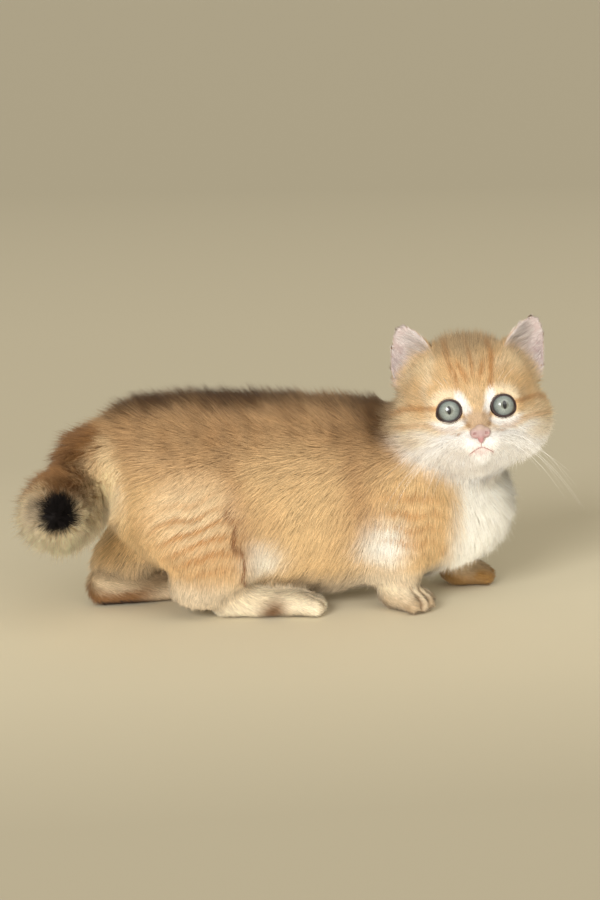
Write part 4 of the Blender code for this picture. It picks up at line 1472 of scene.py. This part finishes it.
def byNodes(name, guideMesh, tree, values):  # runs a node tree on a guide and keeps a plain mesh
    guide = added(f"{name}_guide", guideMesh)
    modifier = guide.modifiers.new("grow", "NODES")
    modifier.node_group = tree
    for item in tree.interface.items_tree:
        if item.in_out == "INPUT" and item.name in values:
            modifier[item.identifier] = values[item.name]
    evaluated = guide.evaluated_get(bpy.context.evaluated_depsgraph_get())
    mesh = bpy.data.meshes.new_from_object(evaluated)
    bpy.data.objects.remove(guide)
    mesh.name = name
    piece = added(name, mesh)
    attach(piece, "root")


def hairLine(root, start, reach, droop, steps=9):
    share = np.linspace(0, 1, steps)[:, None]
    return root + start * reach * share + np.array((0, 0, -1.0)) * droop * share**2


def whiskerGuides(rng):
    lines = []
    first, alongRow, downRow = (np.array(whiskerLook[step]) for step in ("first", "alongRow", "downRow"))
    for side in (-1, 1):
        for row in range(whiskerLook["rows"]):
            for column in range(whiskerLook["inRow"]):
                across, up = first + alongRow * column + downRow * row
                root = onSkinAhead(side * across, up, -0.4)
                share = (column + 0.5 * row) / (whiskerLook["inRow"] + 1)
                reach = whiskerLook["shortest"] + (whiskerLook["longest"] - whiskerLook["shortest"]) * share
                start = unit(np.array((side * 1.0, -0.35 + 0.14 * column, -0.12 * row))[None])[0]
                start = start + rng.normal(0, 0.06, 3)
                far, sag = reach * rng.uniform(0.85, 1.1), reach * rng.uniform(*whiskerLook["droop"])
                lines.append(hairLine(root, start, far, sag))
        for step in range(2):
            root = onSkinAhead(side * (13 + 2.6 * step), 13.5 - 0.4 * step, -0.3)
            start = np.array((side * (0.45 + 0.2 * step), -0.3, 0.8)) + rng.normal(0, 0.05, 3)
            lines.append(hairLine(root, start, 10 + 2 * step, 2.0))
    mesh = bpy.data.meshes.new("whisker_lines")
    points = headToWorld(np.concatenate(lines))
    steps = len(lines[0])
    edges = [(i * steps + k, i * steps + k + 1) for i in range(len(lines)) for k in range(steps - 1)]
    mesh.from_pydata(points.tolist(), edges, [])
    return mesh


def whiskerMaterial():
    material, tree, shader = newMaterial("whiskerHair", 0.35, Specular_IOR_Level=0.5)
    place = nodeOn(tree, "ShaderNodeTexCoord")
    grain = nodeOn(tree, "ShaderNodeTexNoise", Scale=160.0)
    shades = toneRamp(tree, [(0.0, tone(238, 232, 220)), (1.0, tone(250, 248, 242))])
    wired(
        tree,
        (place, "Object", grain, "Vector"),
        (grain, "Fac", shades, "Fac"),
        (shades, "Color", shader, "Base Color"),
    )
    return material


whiskerInputs = {
    "Thickness": whiskerLook["thickness"] / 1000,
    "Sides": whiskerLook["sides"],
    "Material": whiskerMaterial(),
}
whiskerLines = whiskerGuides(np.random.default_rng(whiskerLook["seed"]))
byNodes("whiskers", whiskerLines, whiskerTree(), whiskerInputs)


print("the studio")
studioLook = {
    "aim": (0, -4, 87.3),
    "azimuth": -10,
    "elevation": 12,
    "distance": 1.2,
    "lens": 87.3,
    "floor": 400,  # metres that it reaches each way
    "floorTone": (198, 188, 163),
    "paintedFloorLight": [  # metres behind the kitten, and how bright the paper is painted there: a painted pool of light round the kitten, dimmer further off
        (-0.5, 0.8), (-0.3, 0.82), (-0.12, 1.04), (0.0, 1.12),
        (0.12, 0.95), (0.4, 0.82), (1.0, 0.8), (2.5, 0.67),
    ],
    "skyTone": (208, 201, 184),
    "sky": 0.9,
    "farTone": (182, 172, 144),
    "suns": [  # its name, where it stands, how soft and how strong it is, and its colour
        ("key", (-0.51, -0.75, 0.42), 21, 2.45, (1, 1, 1)),
        ("fill", (0.22, -0.67, 0.71), 50, 0.8, (1, 1, 1)),
        ("thrownBack", (0.0, -0.75, -0.66), 60, 2.2, (1, 0.985, 0.95)),
    ],
}


def addCamera():
    camera = added("camera", bpy.data.cameras.new("camera"))
    turn, rise = math.radians(studioLook["azimuth"]), math.radians(studioLook["elevation"])
    back = Vector((math.sin(turn) * math.cos(rise), -math.cos(turn) * math.cos(rise), math.sin(rise)))
    camera.location = Vector(toWorld(studioLook["aim"])) + back * studioLook["distance"]
    camera.rotation_mode = "QUATERNION"
    camera.rotation_quaternion = (-back).to_track_quat("-Z", "Y")
    camera.data.lens = studioLook["lens"]
    camera.data.sensor_width = 36
    camera.data.clip_end = 1000
    bpy.context.scene.camera = camera


def addFloor():
    mesh = bpy.data.meshes.new("floor")
    reach = studioLook["floor"]
    corners = [(x * reach, y * reach, 0) for x, y in ((-1, -1), (1, -1), (1, 1), (-1, 1))]
    mesh.from_pydata(corners, [], [(0, 1, 2, 3)])
    floor = added("floor", mesh)
    material, tree, shader = newMaterial("paper", 0.9, Specular_IOR_Level=0.1)
    place = nodeOn(tree, "ShaderNodeTexCoord")
    parts = nodeOn(tree, "ShaderNodeSeparateXYZ")
    share = nodeOn(tree, "ShaderNodeMapRange", From_Min=-0.5, From_Max=2.5, To_Min=0.0, To_Max=1.0)
    floorTone = tone(*studioLook["floorTone"])
    # painted light: the paper brightens in a pool round the kitten and dims further off
    stops = [((back + 0.5) / 3, floorTone * bright) for back, bright in studioLook["paintedFloorLight"]]
    shades = toneRamp(tree, stops)
    wired(
        tree,
        (place, "Object", parts, 0),
        (parts, "Y", share, "Value"),
        (share, "Result", shades, "Fac"),
        (shades, "Color", shader, "Base Color"),
    )
    mesh.materials.append(material)
    floor.visible_shadow = False  # so that the light thrown back by the paper can come from below it
    return floor


def addSun(name, towards, softness, strength, colour):  # even light from one side of the studio
    light = added(name, bpy.data.lights.new(name, "SUN"))
    light.data.angle = math.radians(softness)
    light.data.energy = strength
    light.data.color = colour
    light.rotation_mode = "QUATERNION"
    light.rotation_quaternion = (-Vector(towards)).to_track_quat("-Z", "Y")


def addSky():  # what it sheds, and the paper's own tone where the camera sees past the floor
    world = bpy.data.worlds.new("studio")
    bpy.context.scene.world = world
    world.use_nodes = True
    tree = world.node_tree
    background = tree.nodes["Background"]
    path = nodeOn(tree, "ShaderNodeLightPath")
    shown = nodeOn(tree, "ShaderNodeMix", data_type="RGBA")
    shown.inputs[6].default_value = (*(tone(*studioLook["skyTone"]) * studioLook["sky"]), 1)
    shown.inputs[7].default_value = (*tone(*studioLook["farTone"]), 1)
    wired(
        tree,
        (path, "Is Camera Ray", shown, 0),
        (shown, 2, background, "Color"),
    )


addCamera()
addFloor()
addSky()
for sun in studioLook["suns"]:
    addSun(*sun)
bpy.context.scene.view_settings.view_transform = "Standard"

print("done")
